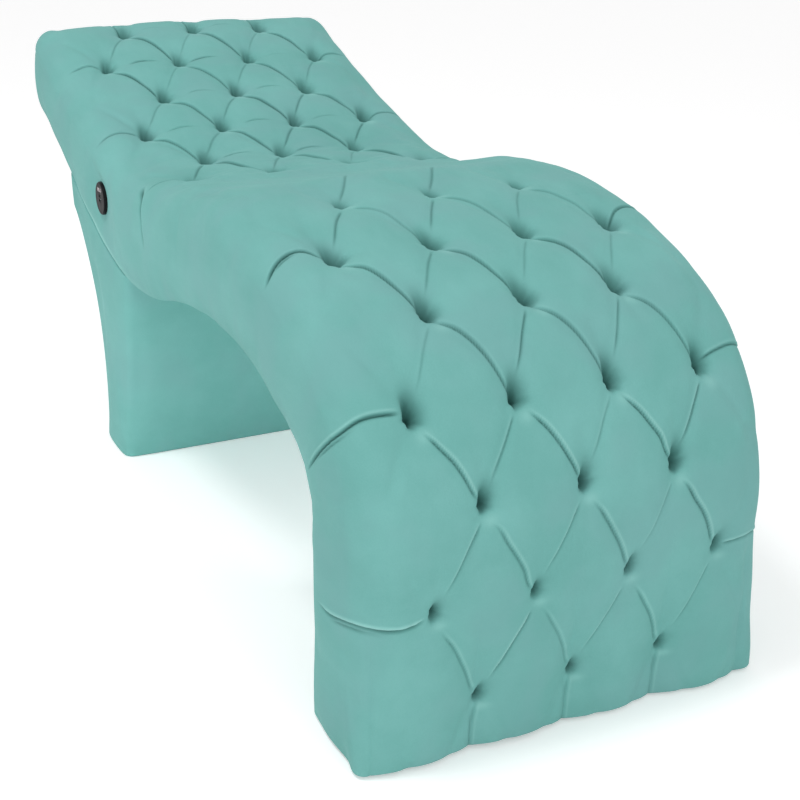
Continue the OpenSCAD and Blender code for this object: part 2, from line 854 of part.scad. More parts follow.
function plan(d) =
    let (r = corner_plan(d), n = CORNER_STEPS + 1)
    concat(
        [for (i = [0:n - 1]) r[i]],
        side_plan(d, 1),
        [for (i = [n:3 * n - 1]) r[i]],
        side_plan(d, -1),
        [for (i = [3 * n:4 * n - 1]) r[i]]
    );
function ring(zr) =
    let (
        zf = base_z + (zr - base_z) * (front_top_z - base_z) / (rear_top_z - base_z),
        xr = rear_x(zr, 0),
        d = front_x(zf, 0) - xr
    )
    [for (p = plan(d)) [xr + p[0], p[1], zr + (zf - zr) * p[0] / d]];
function middle(ring) = [for (a = [0:2]) [for (p = ring) p[a]] * [for (p = ring) 1] / len(ring)];
module pedestal_cover_outside() {
    rings = [for (z = ring_heights) ring(z)];
    m = len(rings);
    n = len(rings[0]);
    points = concat([for (r = rings) each r], [middle(rings[0]), middle(rings[m - 1])]);
    walls = [
        for (i = [0:m - 2])
            for (j = [0:n - 1])
                let (a = i * n + j, b = i * n + (j + 1) % n)
                each [[a, b + n, b], [a, a + n, b + n]]
    ];
    ends = [
        for (j = [0:n - 1])
            each [
                [j, (j + 1) % n, m * n],
                [(m - 1) * n + (j + 1) % n, (m - 1) * n + j, m * n + 1]
            ]
    ];
    polyhedron(points, concat(walls, ends), convexity = 6);
}
module pedestal_cover() {
    color(velvet_side)
    difference() {
        pedestal_cover_outside();
        side_board(concat(
            [[pedestal_rear_x + wadding_t, base_z - over]],
            flare_line(wadding_t),
            [
                [lip_x + wadding_t, rear_top_z + over],
                [front_x(rear_top_z + over, wadding_t), rear_top_z + over],
                [front_x(base_z - over, wadding_t), base_z - over]
            ]
        ), carcass_w);
        side_board(concat(
            under_line(lip_x - over, front_x(front_top_z, 0) + over, seat_gap),
            [
                [front_x(front_top_z, 0) + over, rear_top_z + over],
                [lip_x - over, rear_top_z + over]
            ]
        ), overall_w + 2 * over);
    }
}

pedestal_front_x = front_x(base_z, 0);
module pedestal_base_cover() {
    d = pedestal_front_x - pedestal_rear_x;
    color(velvet_side)
    difference() {
        translate([pedestal_rear_x, 0, glide_h]) {
            for (x = [corner_r, d - corner_r])
                for (y = [corner_r - overall_w / 2, overall_w / 2 - corner_r])
                    translate([x, y, 0]) cylinder(skin_t, r = corner_r);
            translate([corner_r, -overall_w / 2, 0]) cube([d - 2 * corner_r, overall_w, skin_t]);
            translate([0, corner_r - overall_w / 2, 0]) cube([d, overall_w - 2 * corner_r, skin_t]);
        }
        glide_holes(pedestal_glide_places);
    }
}

module pedestal_bolts() {
    color(steel)
    at_bolts() {
        translate([0, 0, -seat_d - seat_gap - head_h]) cylinder(head_h, r = head_r, $fn = 6);
        translate([0, 0, -seat_d - seat_gap - head_h / 2])
            cylinder(seat_d + seat_gap + head_h / 2 + nut_seat_z + nut_flange_t + bolt_r, r = bolt_r);
    }
}
module tee_nuts() {
    color(steel)
    at_bolts()
        difference() {
            union() {
                translate([0, 0, nut_seat_z]) cylinder(nut_flange_t, r = nut_flange_r);
                translate([0, 0, nut_seat_z - nut_barrel_len])
                    cylinder(nut_barrel_len + over, r = nut_barrel_r);
            }
            translate([0, 0, nut_seat_z - nut_barrel_len - over])
                cylinder(nut_barrel_len + nut_flange_t + 2 * over, r = bolt_r + hole_gap / 4);
        }
}

// Glides, nailed through the skin into the boards
glide_pin_r = glide_r / 8;
glide_pin_len = 0.8 * board_t;
glide_y = overall_w / 2 - 2 * glide_inset;
function glide_places(low_x, high_x) = [
    for (x = [low_x + glide_inset, high_x - glide_inset])
        for (y = [-glide_y, glide_y]) [x, y]
];
foot_glide_places = glide_places(foot_rear_x, shin_x - foam_t);
pedestal_glide_places = glide_places(pedestal_rear_x, pedestal_front_x);
module glide_holes(places) {
    for (p = places)
        translate([p[0], p[1], glide_h - over])
            cylinder(glide_pin_len + 2 * over, r = glide_pin_r + hole_gap / 4);
}
module glides(places) {
    for (p = places)
        translate([p[0], p[1], 0]) {
            cylinder(glide_h, r = glide_r);
            cylinder(glide_h + glide_pin_len, r = glide_pin_r);
        }
}
module foot_glides() color(black) glides(foot_glide_places);
module pedestal_glides() color(black) glides(pedestal_glide_places);

// Socket: everything is drawn with its front towards +Z and turned to the right-hand side
barrel_wall = barrel_r / 10;
face_t = bezel_h / 2;
face_r = 0.86 * bezel_r;
nut_r = 1.1 * barrel_r;
lock_nut_t = bezel_h;
NUT_NOTCHES = 6;

module at_socket() {
    p = inside(socket_s, socket_depth);
    translate([p[0], -overall_w / 2, p[1]]) rotate([90, 0, 0]) children();
}
module socket_bore(r) {
    at_socket() translate([0, 0, -wadding_t - ply_t - over]) cylinder(wadding_t + ply_t + 2 * over, r = r);
}
module socket_housing() {
    color(black)
    at_socket()
        difference() {
            union() {
                rotate_extrude($fn = 72) {
                    square([bezel_r - bezel_h / 2, bezel_h]);
                    square([bezel_r, bezel_h / 2]);
                    translate([bezel_r - bezel_h / 2, bezel_h / 2]) circle(bezel_h / 2);
                }
                translate([0, 0, -barrel_len]) cylinder(barrel_len + over, r = barrel_r);
            }
            translate([0, 0, bezel_h - face_t]) cylinder(bezel_h, r = face_r);
            translate([0, 0, barrel_wall - barrel_len])
                cylinder(barrel_len + bezel_h, r = barrel_r - barrel_wall);
        }
}
module usb_slots(grow, z, h) {
    for (side = [-1, 1])
        translate([0, side * usb_gap / 2, z + h / 2])
            cube([usb_w + 2 * grow, usb_h + 2 * grow, h], center = true);
}
module socket_face() {
    color(black)
    at_socket()
        difference() {
            union() {
                translate([0, 0, bezel_h - face_t]) cylinder(face_t - seat_gap, r = face_r - seat_gap);
                translate([0, 0, bezel_h - face_t - usb_len])
                    cylinder(usb_len, r = barrel_r - barrel_wall - seat_gap);
            }
            usb_slots(0, bezel_h - face_t - usb_len - over, usb_len + face_t + 2 * over);
        }
}
module usb_receptacles() {
    color(steel)
    at_socket() {
        difference() {
            usb_slots(0, bezel_h - face_t - usb_len, usb_len + face_t / 2);
            usb_slots(-usb_wall, bezel_h - face_t - usb_len + usb_wall, usb_len + face_t);
        }
        for (side = [-1, 1])
            translate([0, side * usb_gap / 2 + usb_h / 6, bezel_h - face_t - usb_len / 2])
                cube([usb_w - 2.5 * usb_wall, usb_h / 3, usb_len], center = true);
    }
}
module socket_lock_nut() {
    color(black)
    at_socket()
        translate([0, 0, -wadding_t - ply_t - seat_gap - lock_nut_t])
            difference() {
                cylinder(lock_nut_t, r = nut_r);
                translate([0, 0, -over]) cylinder(lock_nut_t + 2 * over, r = barrel_r + hole_gap / 4);
                for (k = [0:NUT_NOTCHES - 1])
                    rotate(k * 360 / NUT_NOTCHES)
                        translate([(nut_r + barrel_r) / 2, -lock_nut_t / 4, -over])
                            cube([nut_r - barrel_r, lock_nut_t / 2, lock_nut_t + 2 * over]);
            }
}

outer_rib_left();
inner_rib_left();
inner_rib_right();
outer_rib_right();
toe_board();
head_board();
leg_rails();
seat_rails();
back_rails();
mounting_rails();
leg_deck();
seat_deck();
back_deck();
leg_liner();
seat_liner();
back_liner();
leg_cushion();
seat_cushion();
back_cushion();
tuft_buttons();
tuft_ties();
side_cover_left();
side_cover_right();
head_cover();
underside_cover();
foot_base_cover();
pedestal_left_cheek();
pedestal_right_cheek();
pedestal_webs();
pedestal_front_board();
pedestal_rear_board();
pedestal_flare_board();
pedestal_floor_board();
pedestal_top_board();
pedestal_cover();
pedestal_base_cover();
pedestal_bolts();
tee_nuts();
foot_glides();
pedestal_glides();
socket_housing();
socket_face();
usb_receptacles();
socket_lock_nut();
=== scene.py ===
# %% [markdown]
# # A tufted treatment couch
#
# The real couch is one long S of plywood, foam and velvet. A person lies on it with the
# shins over the knee roll, the hips in the dip and the back on the slope. It stands on its
# own shin panel and on a pedestal that flares out under the back. The frame, with its ribs,
# decks and bolts, comes from the CAD. This script dresses it: the velvet with its tufts and
# pleats, the pedestal's cover, the buttons, the socket, the light and the camera.
#
# Everything is in metres. X runs from the head to the foot, Y across, Z up.

import json
import math

import bpy
import numpy as np
from mathutils import Matrix, Vector


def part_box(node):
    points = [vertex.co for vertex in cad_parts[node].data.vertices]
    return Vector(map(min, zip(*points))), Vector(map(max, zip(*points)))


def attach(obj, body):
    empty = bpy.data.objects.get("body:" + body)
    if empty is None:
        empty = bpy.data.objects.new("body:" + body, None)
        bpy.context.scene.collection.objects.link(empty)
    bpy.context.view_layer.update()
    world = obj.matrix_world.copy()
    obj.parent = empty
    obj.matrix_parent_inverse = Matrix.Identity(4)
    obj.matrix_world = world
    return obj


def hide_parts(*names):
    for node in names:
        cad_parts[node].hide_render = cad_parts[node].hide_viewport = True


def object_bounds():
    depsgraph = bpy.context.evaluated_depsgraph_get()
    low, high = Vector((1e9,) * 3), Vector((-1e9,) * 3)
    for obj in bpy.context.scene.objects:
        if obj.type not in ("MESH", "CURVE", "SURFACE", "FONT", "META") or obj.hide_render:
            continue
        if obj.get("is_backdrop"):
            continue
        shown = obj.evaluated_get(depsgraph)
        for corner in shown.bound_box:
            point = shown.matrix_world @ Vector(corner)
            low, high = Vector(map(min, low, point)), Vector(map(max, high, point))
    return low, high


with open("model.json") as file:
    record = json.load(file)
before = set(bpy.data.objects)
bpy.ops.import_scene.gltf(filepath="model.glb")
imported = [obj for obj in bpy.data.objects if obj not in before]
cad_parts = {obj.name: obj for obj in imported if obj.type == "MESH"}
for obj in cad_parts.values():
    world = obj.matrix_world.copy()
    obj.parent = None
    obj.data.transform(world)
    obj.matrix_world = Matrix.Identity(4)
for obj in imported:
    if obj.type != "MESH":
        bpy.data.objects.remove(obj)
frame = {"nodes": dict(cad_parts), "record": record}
cad_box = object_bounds()
print("CAD box", [tuple(round(v, 4) for v in corner) for corner in cad_box])

# %% [markdown]
# ## From arrays to meshes
#
# Each new piece is a sheet of points, worked out as whole numpy arrays: one array of points
# for every row of the sheet. Two neighbouring rows and two neighbouring columns make a
# four-sided face. A sheet that is closed round its columns makes a tube, and a fan of
# triangles closes each end of it. Working on whole arrays keeps half a million faces quick.


# %% A mesh from a grid of points
def new_mesh(name, points, faces):
    """A smooth mesh object from an array of points and a list of faces."""
    mesh = bpy.data.meshes.new(name)
    mesh.from_pydata(points.tolist(), [], faces)
    mesh.shade_smooth()
    made = bpy.data.objects.new(name, mesh)
    bpy.context.scene.collection.objects.link(made)
    print(name, len(mesh.polygons), "faces")
    return made


def tube_faces(rows, columns):
    """Point (i, j) is number i * columns + j. Face (i, j) joins it to the next row and column."""
    i, j = np.meshgrid(np.arange(rows - 1), np.arange(columns), indexing="ij")
    a = i * columns + j
    b = i * columns + (j + 1) % columns
    return np.stack([a, b, b + columns, a + columns], -1).reshape(-1, 4)


def closed_tube(name, grid):
    """A tube through rows of points, closed at both ends by a fan round the middle of the row."""
    rows, columns = grid.shape[:2]
    points = np.concatenate([grid.reshape(-1, 3), [grid[0].mean(0), grid[-1].mean(0)]])
    j = np.arange(columns)
    after = (j + 1) % columns
    first = np.stack([after, j, np.full(columns, rows * columns)], -1)
    last = (rows - 1) * columns + np.stack([j, after, np.full(columns, columns + 1)], -1)
    faces = tube_faces(rows, columns).tolist() + first.tolist() + last.tolist()
    return new_mesh(name, points, faces)


# %% Smooth steps, hills and curves
def ease(u):
    """Zero below 0, one above 1, and a smooth step between them."""
    u = np.clip(u, 0, 1)
    return u * u * (3 - 2 * u)


def fade(distance, width):
    """One up to a distance of 0, zero from the width on, and a smooth step between them."""
    return 1 - ease(distance / width)


def bell(distance, width):
    """A round hill: one in the middle, falling away over the width."""
    return np.exp(-((distance / width) ** 2))


def spot(s, c, middle, size):
    """An oval hill round its middle, with its own size along and across."""
    return bell(np.hypot((s - middle[0]) / size[0], (c - middle[1]) / size[1]), 1)


def curve_through(points, count=28):
    """A smooth path through a few points: each stretch is a cubic that heads for the next one."""
    p = np.asarray(points, float)
    p = np.concatenate([[2 * p[0] - p[1]], p, [2 * p[-1] - p[-2]]])
    w = np.linspace(0, len(p) - 3, count)
    k = np.minimum(w.astype(int), len(p) - 4)
    w = (w - k)[:, None]
    a, b, c, d = p[k], p[k + 1], p[k + 2], p[k + 3]
    return b + w / 2 * (c - a + w * (2 * a - 5 * b + 4 * c - d + w * (3 * (b - c) + d - a)))


# %% [markdown]
# ## The camera
#
# The photograph was taken from the foot end, well to one side and a little above. Its place
# was solved from the equal spacing of the tufts and the two feet on the floor, so the view is
# one set of angles and one distance from the bottom of the shin panel.

# %% Set up the camera
FOCAL_PX = 1384.6
IMAGE_PX = 800
SENSOR_MM = 36
YAW, PITCH, ROLL = 62.907, 23.045, 1.4165
SHIN_TO_CAMERA = Vector((1.4841, -1.0656, 1.30605))
CUSHION_CROWN = 0.014

shin_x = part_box("leg_cushion")[1].x - CUSHION_CROWN


def camera_axes(yaw, pitch, roll):
    """Right, up and back of the camera from its turn, its downward tilt and its roll."""
    a, p, r = (math.radians(v) for v in (yaw, pitch, roll))
    ahead = Vector((-math.sin(a) * math.cos(p), math.cos(a) * math.cos(p), -math.sin(p)))
    level = Vector((math.cos(a), math.sin(a), 0))
    up = level.cross(ahead)
    right = level * math.cos(r) + up * math.sin(r)
    return right, up * math.cos(r) - level * math.sin(r), -ahead


eye = bpy.data.cameras.new("eye")
eye.sensor_width = SENSOR_MM
eye.lens = eye.sensor_width * FOCAL_PX / IMAGE_PX
camera = bpy.data.objects.new("camera", eye)
bpy.context.scene.collection.objects.link(camera)
turned = Matrix(camera_axes(YAW, PITCH, ROLL)).transposed().to_4x4()
camera.matrix_world = Matrix.Translation(SHIN_TO_CAMERA + Vector((shin_x, 0, 0))) @ turned
bpy.context.scene.camera = camera
print("camera at", [round(v, 3) for v in camera.matrix_world.translation])

# %% [markdown]
# ## The side line
#
# Seen from the side the couch follows a chain of arcs: straight up the shin, round the knee,
# over the long crest, down a short saddle, through the dip and straight up the back. Along
# an arc the heading changes evenly with the distance walked. So a table of headings at the
# joints says everything, and adding up small steps in the direction of the heading gives the
# places. The foot and the head end come from the CAD, so that both models stay together.

# %% Sizes of the side line
BASE_Z = 0.006
SHIN_H = 0.290
KNEE_R, KNEE_TURN = 0.375, 69.5
CREST_R, CREST_TURN = 1.050, 35.7
SADDLE = 0.110
DIP_R = 0.450
BACK_SLOPE = 18.0

head_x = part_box("head_cover")[0].x
half_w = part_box("side_cover_left")[1].y
dip_turn = KNEE_TURN + CREST_TURN + BACK_SLOPE - 90

stretches = np.array([
    [SHIN_H - BASE_Z, 0],
    [KNEE_R * math.radians(KNEE_TURN), KNEE_TURN],
    [CREST_R * math.radians(CREST_TURN), CREST_TURN],
    [SADDLE, 0],
    [DIP_R * math.radians(dip_turn), -dip_turn],
])
joint_s = np.concatenate([[0], np.cumsum(stretches[:, 0])])
joint_heading = 90 + np.concatenate([[0], np.cumsum(stretches[:, 1])])

# %% Walking along the line
STEP, FAR_ENOUGH = 0.0005, 3.0
PAST_SHIN = 110
walk_s = np.arange(0, FAR_ENOUGH, STEP)
walk_heading = np.radians(np.interp(walk_s, joint_s, joint_heading))
walk_x = shin_x + np.cumsum(np.cos(walk_heading)) * STEP
walk_z = BASE_Z + np.cumsum(np.sin(walk_heading)) * STEP
past_shin = walk_heading > math.radians(PAST_SHIN)
line_len = float(np.interp(-head_x, -walk_x[past_shin], walk_s[past_shin]))
print("line length", round(line_len, 4))


def line_at(s):
    """Place and heading at a distance s along the line, read from the walked table."""
    return tuple(np.interp(s, walk_s, v) for v in (walk_x, walk_z, walk_heading))


# %% [markdown]
# ## Where the tufts sit
#
# Deep diamond tufting sets the buttons in rows of three and four by turns, half a gap aside
# from row to row. The seat between the two tufted fields stays smooth. The rows are evenly
# marked on the deck, but the upholsterer's hand pulls each of them a few millimetres off, so
# a short list of slips comes with the even spacing.

# %% Rows of tufts
TUFT_GAP = 0.166
LEG_FIRST, LEG_GAP = 0.092, 0.152
BACK_FIRST, BACK_GAP = 0.078, 0.150
LEG_SLIPS = [-0.004, 0.008, 0.006, -0.010, -0.006, -0.004, 0.006]
BACK_SLIPS = [-0.006, -0.009, -0.008, 0.000, 0.012, -0.010]


def tuft_rows(first, gap, slips):
    """Rows of places [s, y], three and four by turns: a tuft gap apart, and centred."""
    rows = []
    for k, slip in enumerate(slips):
        y = (np.arange(3 + k % 2) - (2 + k % 2) / 2) * TUFT_GAP
        rows.append(np.stack([first + k * gap + slip + 0 * y, y], -1))
    return rows


leg_rows = tuft_rows(LEG_FIRST, LEG_GAP, LEG_SLIPS)
back_rows = tuft_rows(line_len - BACK_FIRST, -BACK_GAP, BACK_SLIPS)[::-1]
tufts = np.concatenate(leg_rows + back_rows)
last_leg_s = leg_rows[-1][0, 0]
print(len(tufts), "tufts")

# %% [markdown]
# ## The padded body as one surface
#
# The velvet has no seam between the top and the sides, so the body is one closed tube. Its
# rows are sections of the S, and its columns run along the couch. Round a section the columns
# go over the top, round the soft edge, down the side, round the sharp lower edge and back
# along the underside. Every point also knows how far it lies from the middle of the top,
# measured over the cloth. Pits, pillows and pleats are then drawn on that flat map of the
# cloth, and each point moves out of the surface by the height that the map gives.

# %% Sizes of the body
EDGE_R, FOOT_EDGE_R = 0.040, 0.016
LOWER_R = 0.008
END_R = 0.034
FOOT_R = 0.006
TOP_INSET_SHARE = 0.9
WALL_H, WALL_FULLNESS = 0.08, 0.7
FINE = 0.0025
COARSE = 0.024

thickness = np.array([
    [0, 0.178],
    [joint_s[1], 0.178],
    [(joint_s[1] + joint_s[2]) / 2, 0.164],
    [joint_s[2], 0.181],
    [(joint_s[3] + joint_s[4]) / 2, 0.205],
    [joint_s[5], 0.187],
    [line_len, 0.158],
])


def thick(s):
    """Thickness square to the line, eased from one named thickness to the next."""
    k = np.clip(np.searchsorted(thickness[:, 0], s, side="right") - 1, 0, len(thickness) - 2)
    a, b = thickness[k], thickness[k + 1]
    return a[..., 1] + (b - a)[..., 1] * ease((s - a[..., 0]) / (b - a)[..., 0])


def rounding(distance, radius):
    """How far a quarter round draws a face in, at a distance from the end of the piece."""
    left = np.clip(radius - distance, 0, radius)
    return radius - np.sqrt(radius**2 - left**2)


# %% Rows and sections of the body
def body_rows():
    """Distances along the line: close together at the rounded ends and even between them."""
    bend = 1 - np.cos(np.linspace(0, math.pi / 2, 9))
    steps = 2 * round((line_len - FOOT_R - END_R) / FINE / 2)
    middle = np.linspace(FOOT_R, line_len - END_R, steps, endpoint=False)
    return np.concatenate([FOOT_R * bend[:-1], middle, line_len - END_R * bend[::-1]])


def body_section(s):
    """Columns round the section at each s: across, depth, way out, place on the cloth, padding.

    From the middle of the underside the columns run to -Y, up the side, over the top to +Y and
    back. A round part goes along a quarter circle, and a flat part along a straight line.
    """
    s = s[:, None]
    edge_r = FOOT_EDGE_R + (EDGE_R - FOOT_EDGE_R) * ease(s / joint_s[1])
    inset = rounding(line_len - s, END_R) + rounding(s, FOOT_R)
    side = half_w - inset
    top = inset * TOP_INSET_SHARE
    low = thick(s) - rounding(line_len - s, END_R / 2) - rounding(s, FOOT_R)
    one = np.ones_like(s)

    def part(across, depth, out_y, out_d, cloth, pad=0.0):
        return np.stack(np.broadcast_arrays(across, depth, out_y, out_d, cloth, pad), -1)

    under = np.linspace(0, 1, int(half_w / COARSE))[None, :-1]
    lower = np.linspace(0, math.pi / 2, 5)[None, :-1]
    wall = np.linspace(1, 0, int(WALL_H / FINE))[None, :-1]
    edge = np.linspace(math.pi / 2, 0, int(EDGE_R * math.pi / 2 / FINE))[None, :-1]
    flat = np.linspace(1, 0, int((half_w - EDGE_R) / FINE))[None]
    wall_len = low - top - edge_r - LOWER_R
    edge_end = half_w - edge_r + edge_r * math.pi / 2
    half = np.concatenate([
        part(under * (side - LOWER_R), low, 0 * one, one, 2 * half_w + 0 * under),
        part(
            side - LOWER_R * (1 - np.sin(lower)), low - LOWER_R * (1 - np.cos(lower)),
            np.sin(lower), np.cos(lower), edge_end + wall_len,
        ),
        part(
            side, top + edge_r + wall * wall_len, one, 0 * one, edge_end + wall * wall_len,
            np.sin(math.pi * wall) ** WALL_FULLNESS,
        ),
        part(
            side - edge_r * (1 - np.sin(edge)), top + edge_r * (1 - np.cos(edge)),
            np.sin(edge), -np.cos(edge), half_w - edge_r + edge_r * edge,
        ),
        part(flat * (side - edge_r), top, 0 * one, -one, flat * (half_w - edge_r)),
    ], 1)
    near = half * np.array([-1, 1, -1, 1, -1, 1])
    return np.concatenate([near, half[:, ::-1][:, 1:-1]], 1)


# %% [markdown]
# ## Pits, pillows and pleats
#
# Each feature is a height on the map of the cloth. A pillow is the product of two sines along
# the diagonals, so that it is nearly flat and only falls off close to the lines between the
# tufts. A pit is a pointed well with an easy slope above it and a crisp rim below it, because
# the thread pulls the velvet up into the foam. The velvet that is too long between two tufts
# is laid over into a pleat: a lip, a thin groove and a soft shoulder along a path. Only the
# points near a path are worked out, so many pleats cost little.
#
# The same map also holds painted shading for the velvet's colour. In the pits, just above
# them and in the grooves it is painted shade, which is a number above zero. On the lips and
# just below the pits it is a painted highlight, which is a number below zero. The velvet's
# material reads these numbers from the mesh. The pits are smaller low on the shin and in the
# last row before the seat.

# %% Heights on the cloth
PIT, PIT_R, PIT_WALL = 0.037, 0.0125, 1.9
DENT, DENT_R = 0.0075, 0.032
RIM, RIM_AT, RIM_W = 0.0014, 1.55 * PIT_R, 0.35 * PIT_R
PILLOW, PILLOW_SEAM, PILLOW_END = 0.0028, 0.22, 0.5
EDGE_AT, EDGE_W = 0.29, 0.06
LIP, LIP_W = 0.0016, 0.0022
LIP_AT = 1.7 * LIP_W
GROOVE, GROOVE_W = 0.0032, 0.0023
SHOULDER, SHOULDER_W = 0.0012, 0.0100
POINTED, STAR_DEPTH = 1.6, 0.07
LONG, LONGER_ABOVE, NARROW, WIDER_RIGHT, TURNOVER = 1.45, 0.50, 1.20, 0.36, 0.010
# Where the painted shade above a pit and the painted highlight below it sit, and their sizes.
ABOVE_PIT = [(0.026, 0.003), (0.023, 0.012)]
BELOW_PIT = [(-0.030, 0.010), (0.011, 0.012)]
# Painted shade in and above the pits and in the grooves; painted highlight below pits and on lips.
PIT_PAINTED_SHADE, PAINTED_SHADE_ABOVE, PAINTED_HIGHLIGHT_BELOW = 0.90, 0.40, 0.28
FOLD_PAINTED_SHADE, LIP_PAINTED_HIGHLIGHT = 0.46, 0.52
SHIN_TOP, SHIN_FADE = 0.42, 0.26
LIP_LESS, FOLD_MORE, LIP_HIGHLIGHT_LESS = 0.60, 0.35, 0.85
rng = np.random.default_rng(7)


# %% The map of the cloth
class Cloth:
    """The map of the cloth: place along (s) and across (c) of each point, and its height."""

    def __init__(self, s, c):
        self.s, self.c = s, c
        self.shape = np.zeros_like(s)
        self.folds = np.zeros_like(s)
        # painted shading for the colour: painted shade above zero, painted highlight below zero
        self.painted_shading = np.zeros_like(s)

    def near(self, places, reach):
        """Rows and columns that lie within reach of some places, as two slices."""
        low, high = places.min(0) - reach, places.max(0) + reach
        rows = np.flatnonzero((self.s[:, 0] > low[0]) & (self.s[:, 0] < high[0]))
        band = self.c[rows]
        columns = np.flatnonzero(((band > low[1]) & (band < high[1])).any(0))
        return slice(rows[0], rows[-1] + 1), slice(columns[0], columns[-1] + 1)

    def pillows(self, first, gap, high):
        """Adds the flat pillows of a field of rows, fading at its ends and over the edges."""
        v = np.clip((self.s - first) / gap, -1.0, high)
        u = self.c / TUFT_GAP
        m = np.abs(np.sin(math.pi * (u + v / 2)) * np.sin(math.pi * (u - v / 2)))
        on_top = fade(np.abs(self.c) - EDGE_AT, EDGE_W)
        in_field = fade(np.abs((self.s - first) / gap - v), PILLOW_END)
        self.shape -= PILLOW * bell(m, PILLOW_SEAM) * on_top * in_field

    def pit(self, place, size, skew, turn):
        """Sinks a pit with a thin rim below it, and a few creases that run out like a star.

        The distance from its middle is a pointed norm of the two offsets. Above and to the
        right they count for less, so the pit reaches further there.
        """
        part = self.near(place[None], 3 * DENT_R)
        ds = self.s[part] - place[0]
        dc = self.c[part] - place[1] + skew * ds
        # Spots for the painted shade above the pit and the painted highlight below it.
        smear_and_painted_shade = spot(ds / size, dc, *ABOVE_PIT)
        highlight_below_pit = spot(ds / size, dc, *BELOW_PIT)
        angle = np.arctan2(dc, ds)
        star = np.sin(5 * angle + turn) + 0.6 * np.sin(8 * angle + 2 * turn)
        ds = ds / (LONG + LONGER_ABOVE * np.tanh(ds / TURNOVER))
        dc = dc * (NARROW - WIDER_RIGHT * np.tanh(dc / (0.9 * TURNOVER)))
        r = (np.abs(ds) ** POINTED + np.abs(dc) ** POINTED) ** (1 / POINTED)
        r = r * (1 + STAR_DEPTH * star) / size
        below = np.clip(-ds / (r + 1e-6), 0, 1)
        inside = bell(r, PIT_R)
        well = PIT * np.exp(-((r / PIT_R) ** PIT_WALL))
        self.shape[part] -= size * (well + DENT * bell(r, DENT_R))
        self.folds[part] += RIM * bell(r - RIM_AT, RIM_W) * below
        # Paints shade in the pit and above it, and a highlight below it.
        self.painted_shading[part] += PIT_PAINTED_SHADE * inside + PAINTED_SHADE_ABOVE * size * smear_and_painted_shade * (1 - inside) - PAINTED_HIGHLIGHT_BELOW * highlight_below_pit

    def pleat(self, path, strength, fade_in=0.12, fade_out=0.12, width=1.0):
        """Lays a pleat along a path of places. Its upper side is on the left of the way.

        A lip and a groove are bells over the distance from the path, and the shoulder falls
        off evenly on the lower side. The fades are shares of the path's length.
        """
        part = self.near(path, 5 * SHOULDER_W)
        s, c = self.s[part], self.c[part]
        best = np.full(s.shape, 1.0)
        side = np.zeros(s.shape)
        along = np.zeros(s.shape)
        lengths = np.hypot(*np.diff(path, axis=0).T)
        travelled = np.concatenate([[0], np.cumsum(lengths)]) / lengths.sum()
        for a, b, ta, tb in zip(path[:-1], path[1:], travelled[:-1], travelled[1:]):
            way = b - a
            t = np.clip(((s - a[0]) * way[0] + (c - a[1]) * way[1]) / (way @ way), 0, 1)
            ds, dc = s - a[0] - t * way[0], c - a[1] - t * way[1]
            d = np.hypot(ds, dc)
            closer = d < best
            best = np.where(closer, d, best)
            side = np.where(closer, np.sign(ds * way[1] - dc * way[0]), side)
            along = np.where(closer, ta + t * (tb - ta), along)
        n = best * side / width
        share = strength * ease(along / fade_in) * ease((1 - along) / fade_out)
        off_shin = 1 - fade(s - SHIN_TOP, SHIN_FADE)
        lip, groove = bell(n - LIP_AT, LIP_W), bell(n, GROOVE_W)
        shoulder = SHOULDER * np.exp(-np.abs(n) / SHOULDER_W) * (n < 0)
        raised = LIP * (1 - LIP_LESS * off_shin) * lip
        # Painted shade in the groove and a painted highlight on the lip.
        groove_shade = FOLD_PAINTED_SHADE * (1 + FOLD_MORE * off_shin) * groove
        lip_highlight = LIP_PAINTED_HIGHLIGHT * (1 - LIP_HIGHLIGHT_LESS * off_shin) * lip
        self.folds[part] += share * (raised - GROOVE * groove - shoulder)
        self.painted_shading[part] += share * (groove_shade - lip_highlight)


# %% [markdown]
# ## The paths of the pleats
#
# On this couch the pleats that run down to the right are the strong ones, and those that run
# down to the left are only thin lines. Over the knee and on the back a strong pleat is an
# arc: it leaves its pit sideways and then turns down to the next one. On the upright shin it
# hangs nearly straight, so there its path is a blend of the two ways. The outer tufts of each
# row of four have a long fold over the edge. The few turning points of each kind are given as
# steps from the tuft, along the couch and across, and each path is pulled a little off.

# %% Pleats between the tufts
ARCHED_WAY = np.array([
    (-0.017, 0.000), (-0.026, 0.017), (-0.042, 0.033), (-0.067, 0.047),
    (-0.096, 0.060), (-0.124, 0.070), (-0.146, 0.076),
])
STRAIGHT_WAY = np.array([
    (-0.024, 0.008), (-0.042, 0.021), (-0.063, 0.034), (-0.086, 0.047),
    (-0.108, 0.058), (-0.128, 0.067), (-0.146, 0.076),
])
THIN_WAY = np.array([(-0.022, -0.008), (-0.060, -0.034), (-0.100, -0.056), (-0.128, -0.072)])
STRAIGHTENED = 0.85
UPRIGHT_TO, UPRIGHT_FADE = 0.50, 0.18
LOWEST_TO, LOWEST_FADE = 0.20, 0.15
LAST_ROW_W = 0.05
STRONG_SPREAD, THIN_SPREAD = (0.75, 1.15), (0.4, 1.3)
JITTER, PULLED_OFF = 0.0012, 0.002


